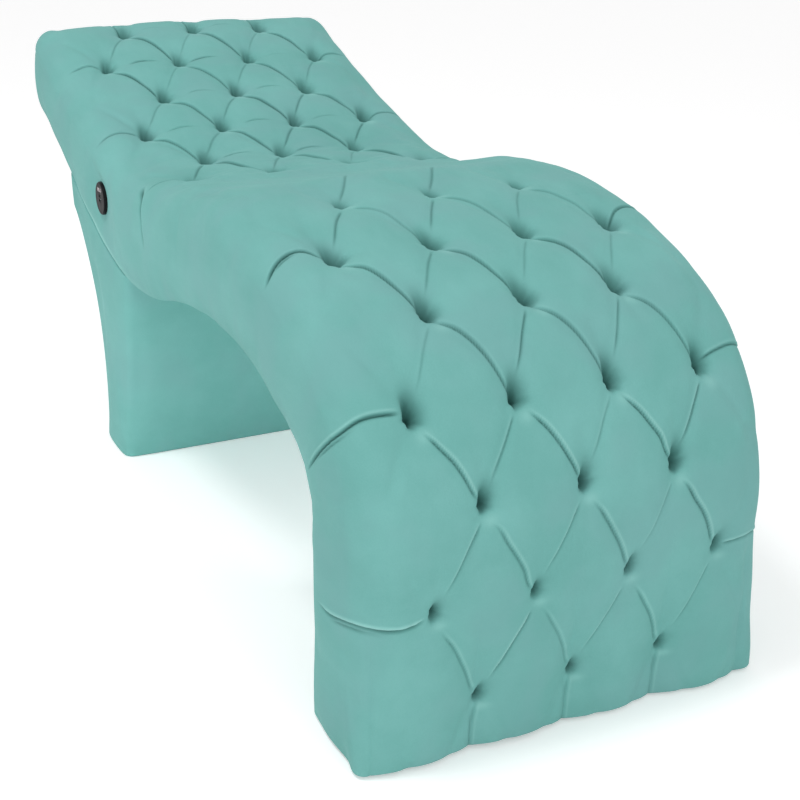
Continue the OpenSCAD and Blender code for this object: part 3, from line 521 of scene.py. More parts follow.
def lay_pleats(cloth, rows, strong, thin):
    """Joins every tuft to its two neighbours in the row below it, nearer the foot.

    The strong pleats are half as strong low on the shin and in the last row at the seat.
    """
    for low_row, high_row in zip(rows[:-1], rows[1:]):
        for a in high_row:
            upright = fade(a[0] - UPRIGHT_TO, UPRIGHT_FADE)
            lowest = fade(a[0] - LOWEST_TO, LOWEST_FADE)
            strong_way = ARCHED_WAY + STRAIGHTENED * upright * (STRAIGHT_WAY - ARCHED_WAY)
            for b in low_row:
                aside = (b[1] - a[1]) / TUFT_GAP
                if abs(abs(aside) - 0.5) > 0.01:
                    continue
                way = strong_way if aside > 0 else THIN_WAY
                way = way * [(a[0] - b[0]) / LEG_GAP, 1]
                path = curve_through(a + way + rng.uniform(-JITTER, JITTER, way.shape))
                path = path + rng.uniform(-PULLED_OFF, PULLED_OFF, 2)
                if aside > 0:
                    share = strong * (1 - 0.5 * lowest - 0.5 * bell(a[0] - last_leg_s, LAST_ROW_W))
                    share = share * rng.uniform(*STRONG_SPREAD)
                    cloth.pleat(path, share, 0.16 + 0.1 * upright, 0.12)
                else:
                    share = thin * (1 + lowest) * rng.uniform(*THIN_SPREAD)
                    cloth.pleat(path[::-1], share, 0.35, 0.15, 0.85)


# %% Folds over the edges and at the ends
NEAR_FOLDS = [
    [(-0.002, 0.012), (-0.008, 0.060), (-0.008, 0.115), (-0.021, 0.175), (-0.026, 0.225)],
    [(0.008, 0.012), (0.011, 0.066), (0.001, 0.105), (-0.012, 0.170), (-0.031, 0.226)],
    [(0.010, 0.012), (0.031, 0.050), (0.022, 0.078), (-0.005, 0.117)],
]
FAR_FOLDS = [
    [(0.000, 0.012), (0.006, 0.060), (-0.004, 0.115)],
    [(0.010, 0.010), (0.020, 0.039), (0.026, 0.084), (0.016, 0.150)],
    [(0.007, 0.008), (0.034, 0.036), (0.046, 0.069), (0.040, 0.110)],
]
BACK_FOLD = [(0.004, 0.012), (0.010, 0.040), (0.009, 0.064), (0.000, 0.090)]
DIP_FOLD = [
    (1.569, -0.330), (1.526, -0.350), (1.508, -0.373), (1.498, -0.390), (1.491, -0.415), (1.476, -0.452),
]
CREST_WAY = [(0.010, 0.002), (0.060, 0.034), (0.120, 0.066), (0.180, 0.094)]
WRINKLE = [(-0.004, 0.028), (0.003, 0.062), (-0.005, 0.108)]


def edge_folds(cloth):
    """Long folds from the outer tufts of the rows of four, over the soft edge."""
    for row, near, far in zip(leg_rows[1::2], NEAR_FOLDS, FAR_FOLDS):
        path = curve_through(row[0] + np.array(near) * [1, -1])[::-1]
        cloth.pleat(path, strength=1.6, fade_in=0.25, fade_out=0.1, width=1.15)
        cloth.pleat(path[5:20] - [0.007, 0], strength=0.8, fade_in=0.4, fade_out=0.4)
        path = curve_through(row[-1] + np.array(far))
        cloth.pleat(path, strength=1.1, fade_in=0.1, fade_out=0.3)
    for row in back_rows[0::2]:
        fold = np.array(BACK_FOLD) * rng.uniform(0.8, 1.2, 2)
        path = curve_through(row[0] + fold * [1, -1])[::-1]
        cloth.pleat(path, strength=0.9, fade_in=0.4, fade_out=0.1)
        path = curve_through(row[-1] + fold * [0.5, 1])
        cloth.pleat(path, strength=0.9, fade_in=0.1, fade_out=0.4)


def end_folds(cloth):
    """Short folds to the foot and the head end, over the crest, within a row and at the dip."""
    for a in leg_rows[0]:
        path = [a, (a[0] / 2, a[1] - 0.009), (0, a[1] - 0.010)]
        cloth.pleat(curve_through(path), strength=0.5, fade_in=0.3, fade_out=0.05)
    for a in back_rows[-1]:
        path = [(line_len, a[1] - 0.012), ((a[0] + line_len) / 2, a[1] - 0.008), a]
        cloth.pleat(curve_through(path), strength=0.9, fade_in=0.05, fade_out=0.3)
    for a in leg_rows[-1][:2]:
        path = curve_through(a + np.array(CREST_WAY))[::-1]
        cloth.pleat(path, strength=0.7, fade_in=0.5, fade_out=0.2)
    for row in back_rows[1:]:
        for a in row[:-1]:
            path = a + np.array(WRINKLE) + [0, rng.uniform(-0.01, 0.02)]
            strength = rng.uniform(0.1, 1.2)
            cloth.pleat(curve_through(path), strength, fade_in=0.3, fade_out=0.5, width=0.8)
    path = curve_through(DIP_FOLD)
    cloth.pleat(path, strength=1.5, fade_in=0.20, fade_out=0.35, width=2.2)


# %% [markdown]
# ## Building the body
#
# The sections stand square to the line, and towards the head they turn plumb, because the end
# of the couch is cut plumb. Over the seat the padding is flat, while over the knee and the
# back it is crowned, and at the foot it swells between the folds that run to the floor. The
# sides have a soft padding too, which lies flat round the socket. The far edge is stuffed
# more fully than the near one, so its roll has a few heights of its own along the couch. A
# thin welt stands along the lower edge under the back, where the cover is drawn round it.
# The lighter line along the welt is a painted highlight.

# %% The body's grid
HEM, HEM_FADE = 0.0045, 0.03
HEM_LIFT, HEM_LIFT_C, HEM_LIFT_W = 0.8, -0.12, 0.14
WELT, WELT_W, WELT_PAINTED_HIGHLIGHT = 0.0018, 0.006, 0.7
WELT_AT, WELT_REACH = 1.78, 0.16
CAP = np.array([0.97, 0.9, 0.75, 0.5, 0.25])[:, None, None]
FOOT_BULGE, HEAD_BULGE = 0.0035, 0.005
socket_low, socket_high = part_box("socket_housing")
socket_mid = (socket_low + socket_high) / 2
socket_r = (socket_high.z - socket_low.z) / 2


def soft_waves(x, y, seed):
    """Low, wide waves: a sum of a few sines whose ways and lengths are drawn once."""
    draw = np.random.default_rng(seed)
    total = np.zeros_like(x)
    for length in (0.34, 0.25, 0.19, 0.14, 0.11):
        turn, phase = draw.uniform(0, 2 * math.pi, 2)
        total += np.sin((x * math.cos(turn) + y * math.sin(turn)) * 2 * math.pi / length + phase)
    return total / 3


def cap_rings(ring, out):
    """Rings that shrink to the middle of the last one, moved out as they shrink."""
    rings = ring.mean(0) + (ring - ring.mean(0)) * CAP
    return rings + np.array(out) * (1 - CAP**2)


def set_out(s, cols, height):
    """Places of the section's points, moved out by a height along their way out.

    At the foot the hem hangs a little lower, least of all left of its middle.
    """
    across = cols[..., 0] + cols[..., 2] * height
    depth = cols[..., 1] + cols[..., 3] * height
    x, z, heading = line_at(s)
    lifted = HEM_LIFT * bell(cols[..., 4] - HEM_LIFT_C, HEM_LIFT_W)
    hem = HEM * (1 - lifted) * fade(s, HEM_FADE)[:, None]
    plumb = np.clip((s - line_len + 2 * BACK_GAP + BACK_FIRST) / (2 * BACK_GAP), 0, 1)
    lean = plumb * math.tan(math.radians(BACK_SLOPE))
    down_x = -(np.sin(heading) + lean * np.cos(heading))[:, None]
    down_z = (np.cos(heading) - lean * np.sin(heading))[:, None]
    grid = np.stack([x[:, None] + depth * down_x, across, z[:, None] - hem + depth * down_z], -1)
    foot = cap_rings(grid[0], (0, 0, FOOT_BULGE))[::-1]
    return np.concatenate([foot, grid, cap_rings(grid[-1], (-HEAD_BULGE, 0, 0))])


# %% Drawing the tufts and folds on the map
SMALLER_LOW, SMALL_TO, SMALL_FADE = 0.45, 0.15, 0.45
SMALLER_LAST, SMALL_W = 0.35, 0.08
KNEE_LEAN, KNEE_AT, KNEE_REACH = 0.20, 0.75, 0.20
SIZE_SPREAD, LEAN_SPREAD = (0.92, 1.06), (0.05, 0.20)

rows_s = body_rows()
columns = body_section(rows_s)
cloth = Cloth(np.broadcast_to(rows_s[:, None], columns.shape[:2]).copy(), columns[..., 4].copy())
cloth.pillows(LEG_FIRST, LEG_GAP, len(leg_rows) - 0.5)
cloth.pillows(line_len - BACK_FIRST, -BACK_GAP, len(back_rows) - 0.5)
for place in tufts:
    size = 1 - SMALLER_LOW * fade(place[0] - SMALL_TO, SMALL_FADE)
    size = size - SMALLER_LAST * bell(place[0] - last_leg_s, SMALL_W)
    size = size * rng.uniform(*SIZE_SPREAD)
    lean = KNEE_LEAN * bell(place[0] - KNEE_AT, KNEE_REACH) - rng.uniform(*LEAN_SPREAD)
    cloth.pit(place, size, lean, rng.uniform(0, 2 * math.pi))
lower_edge = np.abs(columns[..., 2]) * np.clip(columns[..., 3], 0, 1) > 0
edge_c = np.where(lower_edge, np.abs(cloth.c), 0).max(1, keepdims=True)
welt = bell(np.abs(cloth.c) - edge_c, WELT_W) * bell(cloth.s - WELT_AT, WELT_REACH)
# A painted highlight along the welt.
cloth.painted_shading -= WELT_PAINTED_HIGHLIGHT * welt
cloth.folds += WELT * welt
lay_pleats(cloth, leg_rows, 1.25, 0.75)
lay_pleats(cloth, back_rows, 1.35, 0.65)
edge_folds(cloth)
end_folds(cloth)
print("body grid", columns.shape[:2])

# %% The padding under the cloth
RAISE, RAISE_AT, RAISE_W = 0.008, 0.31, 0.09
SCALLOP, SCALLOP_DROP, SCALLOP_FULLNESS = 1.8, 0.7, 0.7
SEAT_SINK, SEAT_FROM, SEAT_RISE, SEAT_TO, SEAT_FALL = 1.45, 1.10, 0.16, 1.38, 0.14
FOOT_TO, FOOT_FADE = 0.06, 0.30
WAVE = 0.0012
SIDE_PAD, NEAR_FOOT_PAD = 0.0050, 0.6
TOE, TOE_C, TOE_W, TOE_LEN = 0.008, 0.27, 0.07, 0.10
ROLL_W = 0.06
SOCKET_GAP, SOCKET_FADE = 0.003, 0.045
FAR_ROLL = [
    (0, 0), (0.60, 0), (0.78, 0.005), (1.02, 0.005), (1.13, 0.003), (1.26, 0.011),
    (1.44, -0.008), (1.60, 0.009), (1.70, 0.015), (1.86, 0.009), (2.05, 0.005), (2.40, 0.005),
]
out_c = np.abs(cloth.c)
on_top = out_c < 2 * half_w - 0.01
on_seat = ease((cloth.s - SEAT_FROM) / SEAT_RISE) * fade(cloth.s - SEAT_TO, SEAT_FALL)
at_foot = fade(cloth.s - FOOT_TO, FOOT_FADE)
near_ends = ease((line_len - cloth.s) / 0.07 + 0.1) * ease(cloth.s / 0.01 + 0.5)
crown = CUSHION_CROWN * (1 - np.clip(out_c / half_w, 0, 1) ** 2) * (1 - at_foot)
rise = RAISE * fade(out_c - RAISE_AT - 0.030 * at_foot, RAISE_W - 0.035 * at_foot)
scallops = np.abs(np.sin(math.pi * (cloth.c + 0.010) / TUFT_GAP)) ** SCALLOP_FULLNESS
rise = rise * (1 + at_foot * (SCALLOP * scallops - SCALLOP_DROP))
waves = WAVE * soft_waves(cloth.s, cloth.c, 3)
roll = np.interp(cloth.s, *curve_through(FAR_ROLL, 200).T) * bell(cloth.c - RAISE_AT, ROLL_W)
padding = (cloth.shape + (crown + rise) * (1 - SEAT_SINK * on_seat) + roll + waves) * near_ends
toe = TOE * bell(cloth.c - TOE_C, TOE_W) * fade(cloth.s, TOE_LEN)
side_pad = SIDE_PAD * (1 + NEAR_FOOT_PAD * at_foot * (cloth.c < 0)) * ease(cloth.s / 0.05 + 0.3)
padding = (padding + toe + side_pad * columns[..., 5]) * on_top

bare = set_out(rows_s, columns, 0 * padding)[len(CAP):-len(CAP)]
from_socket = np.hypot(bare[..., 0] - socket_mid.x, bare[..., 2] - socket_mid.z)
on_near_side = (columns[..., 3] == 0) & (cloth.c < 0)
round_socket = on_near_side * fade(from_socket - socket_r - SOCKET_GAP, SOCKET_FADE)
padding *= 1 - round_socket
print("padding from", round(padding.min(), 4), "to", round(padding.max(), 4))

# %% [markdown]
# ## Letting the velvet settle
#
# Cloth over foam never lies as evenly as a formula says. So Blender's Cloth gets a coarse copy
# of the body, every third row and column, with some pressure from inside and a little more
# cloth than the shape needs. The pits and the underside are pinned. After twenty frames the
# cloth has swelled between the pits and drawn its own soft creases from one to the next. What
# each point moved, limited to a few millimetres, is spread over the fine grid, and the sharp
# pleats, which a coarse grid can't hold, come after it.

# %% Cloth simulation on a coarse copy
SETTLE_FRAMES = 20
EVERY = 3
SMOOTHINGS = 12
PRESSURE = 1.5


def spread(values, kept, count):
    """Rows of values at the kept numbers, filled in evenly for all the numbers from 0."""
    i = np.arange(count)
    k = np.clip(np.searchsorted(kept, i, side="right") - 1, 0, len(kept) - 2)
    w = ((i - kept[k]) / (kept[k + 1] - kept[k]))[:, None, None]
    return values[k] * (1 - w) + values[k + 1] * w


def settle(name, grid, pinned, spare, limit):
    """How far the cloth moves each point: simulated, and bent over smoothly to a limit.

    Spare is the share of cloth that is more than the shape needs. A move of d becomes the
    limit times the hyperbolic tangent of d over the limit, so it never goes past it.
    """
    rows, columns = grid.shape[:2]
    row_kept = np.unique(np.append(np.arange(0, rows, EVERY), rows - 1))
    column_kept = np.arange(0, columns - 1, EVERY)
    coarse = grid[row_kept][:, column_kept]
    held = np.flatnonzero(pinned[row_kept][:, column_kept].ravel())
    sheet = closed_tube(name, coarse)
    sheet.vertex_groups.new(name="pins").add(held.tolist(), 1.0, "REPLACE")
    modifier = sheet.modifiers.new("cloth", "CLOTH")
    settings = modifier.settings
    settings.quality = 4
    settings.use_pressure = True
    settings.uniform_pressure_force = PRESSURE
    settings.effector_weights.gravity = 0
    settings.shrink_min = -spare
    settings.vertex_group_mass = "pins"
    modifier.point_cache.frame_start = 1
    modifier.point_cache.frame_end = SETTLE_FRAMES
    for frame_number in range(1, SETTLE_FRAMES + 1):
        bpy.context.scene.frame_set(frame_number)
    settled = sheet.evaluated_get(bpy.context.evaluated_depsgraph_get()).data
    places = np.zeros(len(settled.vertices) * 3, np.float32)
    settled.vertices.foreach_get("co", places)
    moved = places.reshape(-1, 3)[: coarse[..., 0].size].reshape(coarse.shape) - coarse
    bpy.data.objects.remove(sheet)
    bpy.context.scene.frame_set(1)
    far = np.linalg.norm(moved, axis=-1, keepdims=True) + 1e-9
    print(name, "moved in mm: mean", round(far.mean() * 1000, 2), "most", round(far.max() * 1000, 2))
    moved = moved * limit * np.tanh(far / limit) / far
    moved = spread(moved, row_kept, rows).swapaxes(0, 1)
    moved = spread(np.concatenate([moved, moved[:1]]), np.append(column_kept, columns), columns)
    moved = moved.swapaxes(0, 1)
    for _ in range(SMOOTHINGS):
        moved = (np.roll(moved, 1, 1) + 2 * moved + np.roll(moved, -1, 1)) / 4
        moved[1:-1] = (moved[:-2] + 2 * moved[1:-1] + moved[2:]) / 4
    return moved


# %% Pinning and settling the body
def ends_too(values):
    """The first and last rows repeated for the rings that close the ends."""
    times = [len(CAP) + 1] + [1] * (len(values) - 2) + [len(CAP) + 1]
    return np.repeat(values, times, 0)


in_pit = cloth.shape < -0.3 * PIT
low_down = ~on_top | (columns[..., 3] > 0)
at_socket = round_socket > 0.05
pinned = ends_too(in_pit | low_down | at_socket | (cloth.s < 0.004))
moved = settle("velvet_sheet", set_out(rows_s, columns, padding), pinned, 0.006, 0.006)

# %% The finished body
def set_painted_shading(piece, values):
    """Writes the painted shade and highlight at each point of a piece, for the velvet to read."""
    piece.data.attributes.new("painted_shading", "FLOAT", "POINT").data.foreach_set("value", values)


folds = cloth.folds * on_top * near_ends * (1 - round_socket)
body = closed_tube("body_cover", set_out(rows_s, columns, padding + folds) + moved)
set_painted_shading(body, np.append(ends_too(np.clip(cloth.painted_shading * near_ends, -1, 1)).ravel(), [0, 0]))
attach(body, "root")
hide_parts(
    "leg_cushion", "seat_cushion", "back_cushion", "side_cover_left", "side_cover_right",
    "head_cover", "underside_cover", "foot_base_cover",
)

# %% [markdown]
# ## Velvet-covered buttons
#
# A small covered button sits at the bottom of every pit and holds the velvet down by its
# thread. Only a glimpse of it shows. All of them are one mesh: a low profile turned round its
# axis, repeated at every tuft and tipped to stand square to the couch there.

# %% Turning the buttons
BUTTON_R = 0.0068
BUTTON_PROFILE = [
    (0, 0.0048), (0.30, 0.0046), (0.62, 0.0040), (0.86, 0.0028), (1.0, 0.0012), (0.92, 0.0),
]
BUTTON_SHOWS = 0.0012
AROUND = 16


def pit_bottoms():
    """Depth of the cloth at each tuft, read from the nearest point of the body's grid."""
    i = np.abs(rows_s[None] - tufts[:, :1]).argmin(1)
    j = np.array([np.abs(cloth.c[row] - y).argmin() for row, y in zip(i, tufts[:, 1])])
    return -padding[i, j]


def button_points():
    """Ring k of a button has a share of its radius and a height. Angle j goes round it."""
    share, height = np.array(BUTTON_PROFILE).T
    angle = np.arange(AROUND) * 2 * math.pi / AROUND
    along = BUTTON_R * share[:, None] * np.cos(angle)
    across = BUTTON_R * share[:, None] * np.sin(angle)
    x, z, heading = (v[:, None, None] for v in line_at(tufts[:, 0]))
    out = height[:, None] + 0 * along - pit_bottoms()[:, None, None] + BUTTON_SHOWS
    return np.stack([
        x + along * np.cos(heading) + out * np.sin(heading),
        tufts[:, 1, None, None] + across + 0 * x,
        z + along * np.sin(heading) - out * np.cos(heading),
    ], -1)


points = button_points()
rings = points.shape[1]
one_button = tube_faces(rings, AROUND)[:, ::-1]
many = one_button[None] + (np.arange(len(tufts)) * rings * AROUND)[:, None, None]
buttons = new_mesh("covered_buttons", points.reshape(-1, 3), many.reshape(-1, 4).tolist())
# The buttons get the painted shade of a pit's bottom.
set_painted_shading(buttons, np.full(len(buttons.data.vertices), PIT_PAINTED_SHADE))
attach(buttons, "root")
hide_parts("tuft_buttons")

# %% [markdown]
# ## The pedestal's cover
#
# The pedestal is a flared box in the same velvet: plumb and narrow at the floor, and sweeping
# out towards the head under the back. Its rows go up from the floor. A row is a rectangle
# with round corners between a rear and a front place, which both climb at their own pace, so
# that the last row lies exactly against the underside of the couch.

# %% Sizes of the pedestal
LEAN = math.radians(10)
FLARE_H, FLARE_R, FLARE_OUT = 0.100, 0.500, 0.185
CORNER_R = 0.020
PEDESTAL_PAD, PEDESTAL_WAVE = 0.0045, 0.0009
GLIDE_H = 0.004
JOINT_GAP, LID_GAP = 0.0004, 0.0006
SAG, SAG_SHARE, BOTTOM_BULGE = 0.0025, 0.05, 0.0028

base_low, base_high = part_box("pedestal_base_cover")
rear_x, front_x = base_low.x, base_high.x
lip_x = rear_x - FLARE_OUT

under_s = np.linspace(joint_s[3], line_len - 0.15, 800)
under = set_out(under_s, np.stack([0 * under_s, thick(under_s)] + [0 * under_s] * 3, -1)[:, None], 0)
under = under[len(CAP):-len(CAP), 0][::-1]


def under_z(x):
    """Height of the underside of the couch at x."""
    return np.interp(x, under[:, 0], under[:, 2])


def flare(t):
    """Rear edge from the floor to the lip: plumb, then a quarter of an arc, then straight up."""
    turn = math.acos(1 - FLARE_OUT / FLARE_R)
    w = np.linspace(0, turn, 60)
    x = np.concatenate([[rear_x], rear_x - FLARE_R * (1 - np.cos(w)), [lip_x]])
    z = np.concatenate([[GLIDE_H], FLARE_H + FLARE_R * np.sin(w), [under_z(lip_x)]])
    far = np.concatenate([[0], np.cumsum(np.hypot(np.diff(x), np.diff(z)))])
    return np.interp(t * far[-1], far, x), np.interp(t * far[-1], far, z)


def front_edge(t):
    """Front edge: a straight line that leans to the foot, up to where it meets the couch."""
    z = np.linspace(GLIDE_H, 0.6, 600)
    x = front_x + (z - GLIDE_H) * math.tan(LEAN)
    top = z[np.argmax(z > under_z(x))]
    return front_x + (top - GLIDE_H) * t * math.tan(LEAN), GLIDE_H + (top - GLIDE_H) * t


# %% Building the pedestal's cover
CORNERS = np.array([(1, 1), (0, 1), (0, 0), (1, 0)])
WAYS_OUT = np.array([(0, 1), (-1, 0), (0, -1), (1, 0)])


def round_plan(counts, round_steps=9):
    """A rectangle with round corners, counterclockwise from its front right corner.

    Each point has a share along the depth and one along the width, the way out there, and
    its share of the side. Counts are the points of a side along the depth and the width.
    """
    turn = np.linspace(0, math.pi / 2, round_steps)
    parts = []
    for k, (corner, way) in enumerate(zip(CORNERS, WAYS_OUT)):
        a = turn + k * math.pi / 2
        parts.append(np.stack([0 * a + corner[0], 0 * a + corner[1], np.cos(a), np.sin(a), 0 * a], -1))
        w = np.linspace(0, 1, counts[k % 2] + 2)[1:-1, None]
        place = corner + (CORNERS[(k + 1) % 4] - corner) * w
        parts.append(np.concatenate([place, way + 0 * w, w], 1))
    return np.concatenate(parts)


def pedestal_grid():
    """Row t goes from the floor to the couch. A point lies at a share u from rear to front.

    Across, it lies at a share v of the width. Its height is the straight line between the two
    edges, warped with t * t so that the last row follows the underside. It stands out by a
    padding that is fullest in the middle of each side, with soft waves on it.
    """
    steps_z = 2 * int(0.50 / FINE / 2 / 1.6) + 1
    t = np.linspace(0, 1, steps_z)
    u, v, out_x, out_y, w = round_plan([2 * int(side / FINE / 3) for side in (0.26, 0.65)]).T
    (xr, zr), (xf, zf) = flare(t), front_edge(t)
    low, high = xr[:, None] + CORNER_R, xf[:, None] - CORNER_R
    x = low + (high - low) * u
    share = np.clip((x + CORNER_R * out_x - xr[:, None]) / (xf - xr)[:, None], 0, 1)
    y = (2 * v - 1) * (half_w - CORNER_R)
    top = under_z(xr[-1] + share * (xf[-1] - xr[-1])) - (zr[-1] + share * (zf[-1] - zr[-1]))
    z = zr[:, None] + share * (zf - zr)[:, None] + t[:, None] ** 2 * top
    around = np.cumsum(np.hypot(np.diff(x[0], prepend=x[0, 0]), np.diff(y, prepend=y[0])))
    upright = np.sin(math.pi * (0.12 + 0.88 * t * 0.97))[:, None] ** 0.5
    pad = PEDESTAL_PAD * np.sin(math.pi * w) ** 0.6 * upright
    waves = soft_waves(around[None] + 0 * z, z, 11) * np.sin(math.pi * t)[:, None] ** 0.5
    pad = pad + PEDESTAL_WAVE * waves
    z = z - JOINT_GAP - SAG * fade(t, SAG_SHARE)[:, None]
    return np.stack([x + (CORNER_R + pad) * out_x, y + (CORNER_R + pad) * out_y, z], -1)


# %% Closing and settling the pedestal
sides = pedestal_grid()
bottom, top = cap_rings(sides[0], (0, 0, BOTTOM_BULGE)), cap_rings(sides[-1], (0, 0, 0))
top[..., 2] = under_z(top[..., 0]) - LID_GAP
box_grid = np.concatenate([bottom[::-1], sides, top])
held = np.zeros(box_grid.shape[:2], bool)
held[: len(CAP) + 2] = True
held[-len(CAP) - 3:] = True
pedestal_moved = settle("pedestal_sheet", box_grid, held, 0.008, 0.004)
pedestal = closed_tube("pedestal_velvet", box_grid + pedestal_moved)
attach(pedestal, "root")
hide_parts("pedestal_cover", "pedestal_base_cover")

# %% [markdown]
# ## The socket's marks
#
# The round socket comes from the CAD with its rim, face and two charging slots. Moulded marks
# on its face tell what it is for: a small battery over the slots with a bolt beside it. They
# are thin plates, cut from an outline and raised a hair above the face.

# %% Raised marks from outlines
MARK_T, BAR_W = 0.0003, 0.0012
face_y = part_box("socket_face")[0].y


def plates(name, outlines):
    """Each outline is a closed line of (right, up) places on the face, given a front and a rim."""
    points, faces = [], []
    for outline in outlines:
        n, first = len(outline), len(points)
        for y in (face_y, face_y - MARK_T):
            points += [(socket_mid.x + right, y, socket_mid.z + up) for right, up in outline]
        faces.append([first + n + k for k in range(n)])
        for a, b in ((first + k, first + (k + 1) % n) for k in range(n)):
            faces.append([a, b, b + n, a + n])
    return new_mesh(name, np.array(points), faces)


def bar(left, low, right, high):
    """The outline of a rectangle."""
    return [(left, low), (right, low), (right, high), (left, high)]


LEFT, LOW, RIGHT, HIGH = -0.0130, 0.0135, 0.0010, 0.0205
battery = [
    bar(LEFT, LOW, RIGHT, LOW + BAR_W),
    bar(LEFT, HIGH - BAR_W, RIGHT, HIGH),
    bar(LEFT, LOW + BAR_W, LEFT + BAR_W, HIGH - BAR_W),
    bar(RIGHT - BAR_W, LOW + BAR_W, RIGHT, HIGH - BAR_W),
    bar(RIGHT, 0.0155, 0.0025, 0.0185),
    bar(-0.0108, 0.0155, -0.0045, 0.0185),
]
bolt = [
    [(0.0085, 0.0225), (0.0065, 0.0165), (0.0090, 0.0168), (0.0100, 0.0225)],
    [(0.0090, 0.0168), (0.0080, 0.0118), (0.0118, 0.0180), (0.0094, 0.0178)],
]
marks = plates("socket_marks", battery + bolt)
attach(marks, "root")

# %% [markdown]
# ## Sums as shader nodes
#
# A material is a graph of nodes. Written as sums it is easier to read, so a small class wraps
# a socket, and each operator adds the Math node for it. Every other node comes from one
# method, which sets the node's own settings first and its sockets after them.


# %% A socket that can be reckoned with
class Signal:
    """One output of a node. Sums on it add Math nodes to the same graph."""

    def __init__(self, graph, socket):
        self.graph, self.socket = graph, socket

    def _sum(self, operation, a, b=None):
        return self.graph.node("ShaderNodeMath", {"operation": operation}, [a, b])

    def __add__(self, other):
        return self._sum("ADD", self, other)

    __radd__ = __add__

    def __mul__(self, other):
        return self._sum("MULTIPLY", self, other)

    __rmul__ = __mul__

    def __sub__(self, other):
        return self._sum("SUBTRACT", self, other)

    def __rsub__(self, other):
        return self._sum("SUBTRACT", other, self)

    def sine(self):
        return self._sum("SINE", self)

    def size(self):
        return self._sum("ABSOLUTE", self)

    def most(self, other):
        return self._sum("MAXIMUM", self, other)

    def step(self, low, high):
        """Zero below low, one above high, and smooth between them."""
        settings = {"interpolation_type": "SMOOTHSTEP"}
        return self.graph.node("ShaderNodeMapRange", settings, {0: self, 1: low, 2: high})


# %% Graphs and paints
class Graph:
    """The node tree of a material or a world."""

    def __init__(self, owner):
        owner.use_nodes = True
        self.tree = owner.node_tree

    def node(self, kind, settings, values, output=0):
        """Adds a node: its settings, then its sockets by number or name, as values or links."""
        made = self.tree.nodes.new(kind)
        for key, value in settings.items():
            setattr(made, key, value)
        pairs = values.items() if isinstance(values, dict) else enumerate(values)
        for key, value in pairs:
            if isinstance(value, Signal):
                self.tree.links.new(value.socket, made.inputs[key])
            elif value is not None:
                made.inputs[key].default_value = value
        return Signal(self, made.outputs[output])


class Paint(Graph):
    """A new material, its node tree, and its Principled shader."""

    def __init__(self, name, **fixed):
        self.material = bpy.data.materials.new(name)
        super().__init__(self.material)
        self.shader = self.tree.nodes["Principled BSDF"]
        for socket, value in fixed.items():
            self.shader.inputs[socket.replace("_", " ")].default_value = value
        self.place = self.node("ShaderNodeTexCoord", {}, {}, "Object")

    def noise(self, scale, detail=2.0, stretch=(1, 1, 1), roughness=0.5):
        """A noise from 0 to 1 in object space, with scale features to the metre."""
        place = self.node("ShaderNodeMapping", {}, {"Vector": self.place, "Scale": stretch})
        values = {"Vector": place, "Scale": scale, "Detail": detail, "Roughness": roughness}
        return self.node("ShaderNodeTexNoise", {}, values)

    def across(self, vector):
        """The part of a vector that runs across the couch, which is its Y."""
        return self.node("ShaderNodeSeparateXYZ", {}, [vector], "Y")

    def blend(self, share, a, b):
        """A colour between a and b."""
        return self.node("ShaderNodeMix", {"data_type": "RGBA"}, {0: share, 6: a, 7: b}, 2)

    def bump(self, height, distance, strength=1.0, onto=None):
        """A normal that tilts with the slope of a height, given in parts of a distance."""
        values = {"Strength": strength, "Distance": distance, "Height": height}
        if onto is not None:
            values["Normal"] = onto
        return self.node("ShaderNodeBump", {}, values)

    def finish(self, **links):
        for socket, signal in links.items():
            self.tree.links.new(signal.socket, self.shader.inputs[socket.replace("_", " ")])
        return self.material


def rgb(red, green, blue):
    """A colour from the values over 10, to 255, that a picture shows, made linear for a shader."""
    return tuple(((v / 255 + 0.055) / 1.055) ** 2.4 for v in (red, green, blue)) + (1,)


# %% [markdown]
# ## Velvet
#
# Velvet is a short dense pile. Hands brush it this way and that, so it shows broad patches
# that are a shade lighter or greyer, and soft streaks. Its light comes from the tips of the
# pile at a low angle, which the shader calls sheen. A fine bump gives the grain of the pile,
# and a wide shallow one the small slack creases of cloth on foam. Where the mesh holds painted
# shade, the colour goes to a deep teal, and where it holds a painted highlight, to a light one.

# %% Teal velvet
velvet = Paint(
    "teal_velvet", Sheen_Weight=0.20, Sheen_Roughness=0.38, Sheen_Tint=rgb(178, 222, 216),
    Specular_IOR_Level=0.18,
)
patches = velvet.noise(5.5, 3.0)
brushed = velvet.noise(17.0, 4.0, (0.4, 0.9, 1.0), 0.60)
streaks = velvet.noise(70.0, 2.0, (0.25, 1.0, 0.9))
grain = velvet.noise(420.0, 2.0)
pile = velvet.noise(1500.0, 1.0)
tone = (patches * 0.46 + brushed * 0.33 + streaks * 0.05 + grain * 0.16).step(0.32, 0.70)
greyer = velvet.noise(9.0, 2.0, (1.3, 1.0, 0.8)).step(0.42, 0.68)
teal = velvet.blend(tone, rgb(108, 170, 164), rgb(119, 180, 175))
teal = velvet.blend(greyer * 0.55, teal, rgb(118, 171, 169))
painted_shading_share = velvet.node("ShaderNodeAttribute", {"attribute_name": "painted_shading"}, {}, "Fac")
# Painted shade: deep teal where the painted shading is above zero.
teal = velvet.blend(painted_shading_share, teal, rgb(34, 84, 78))
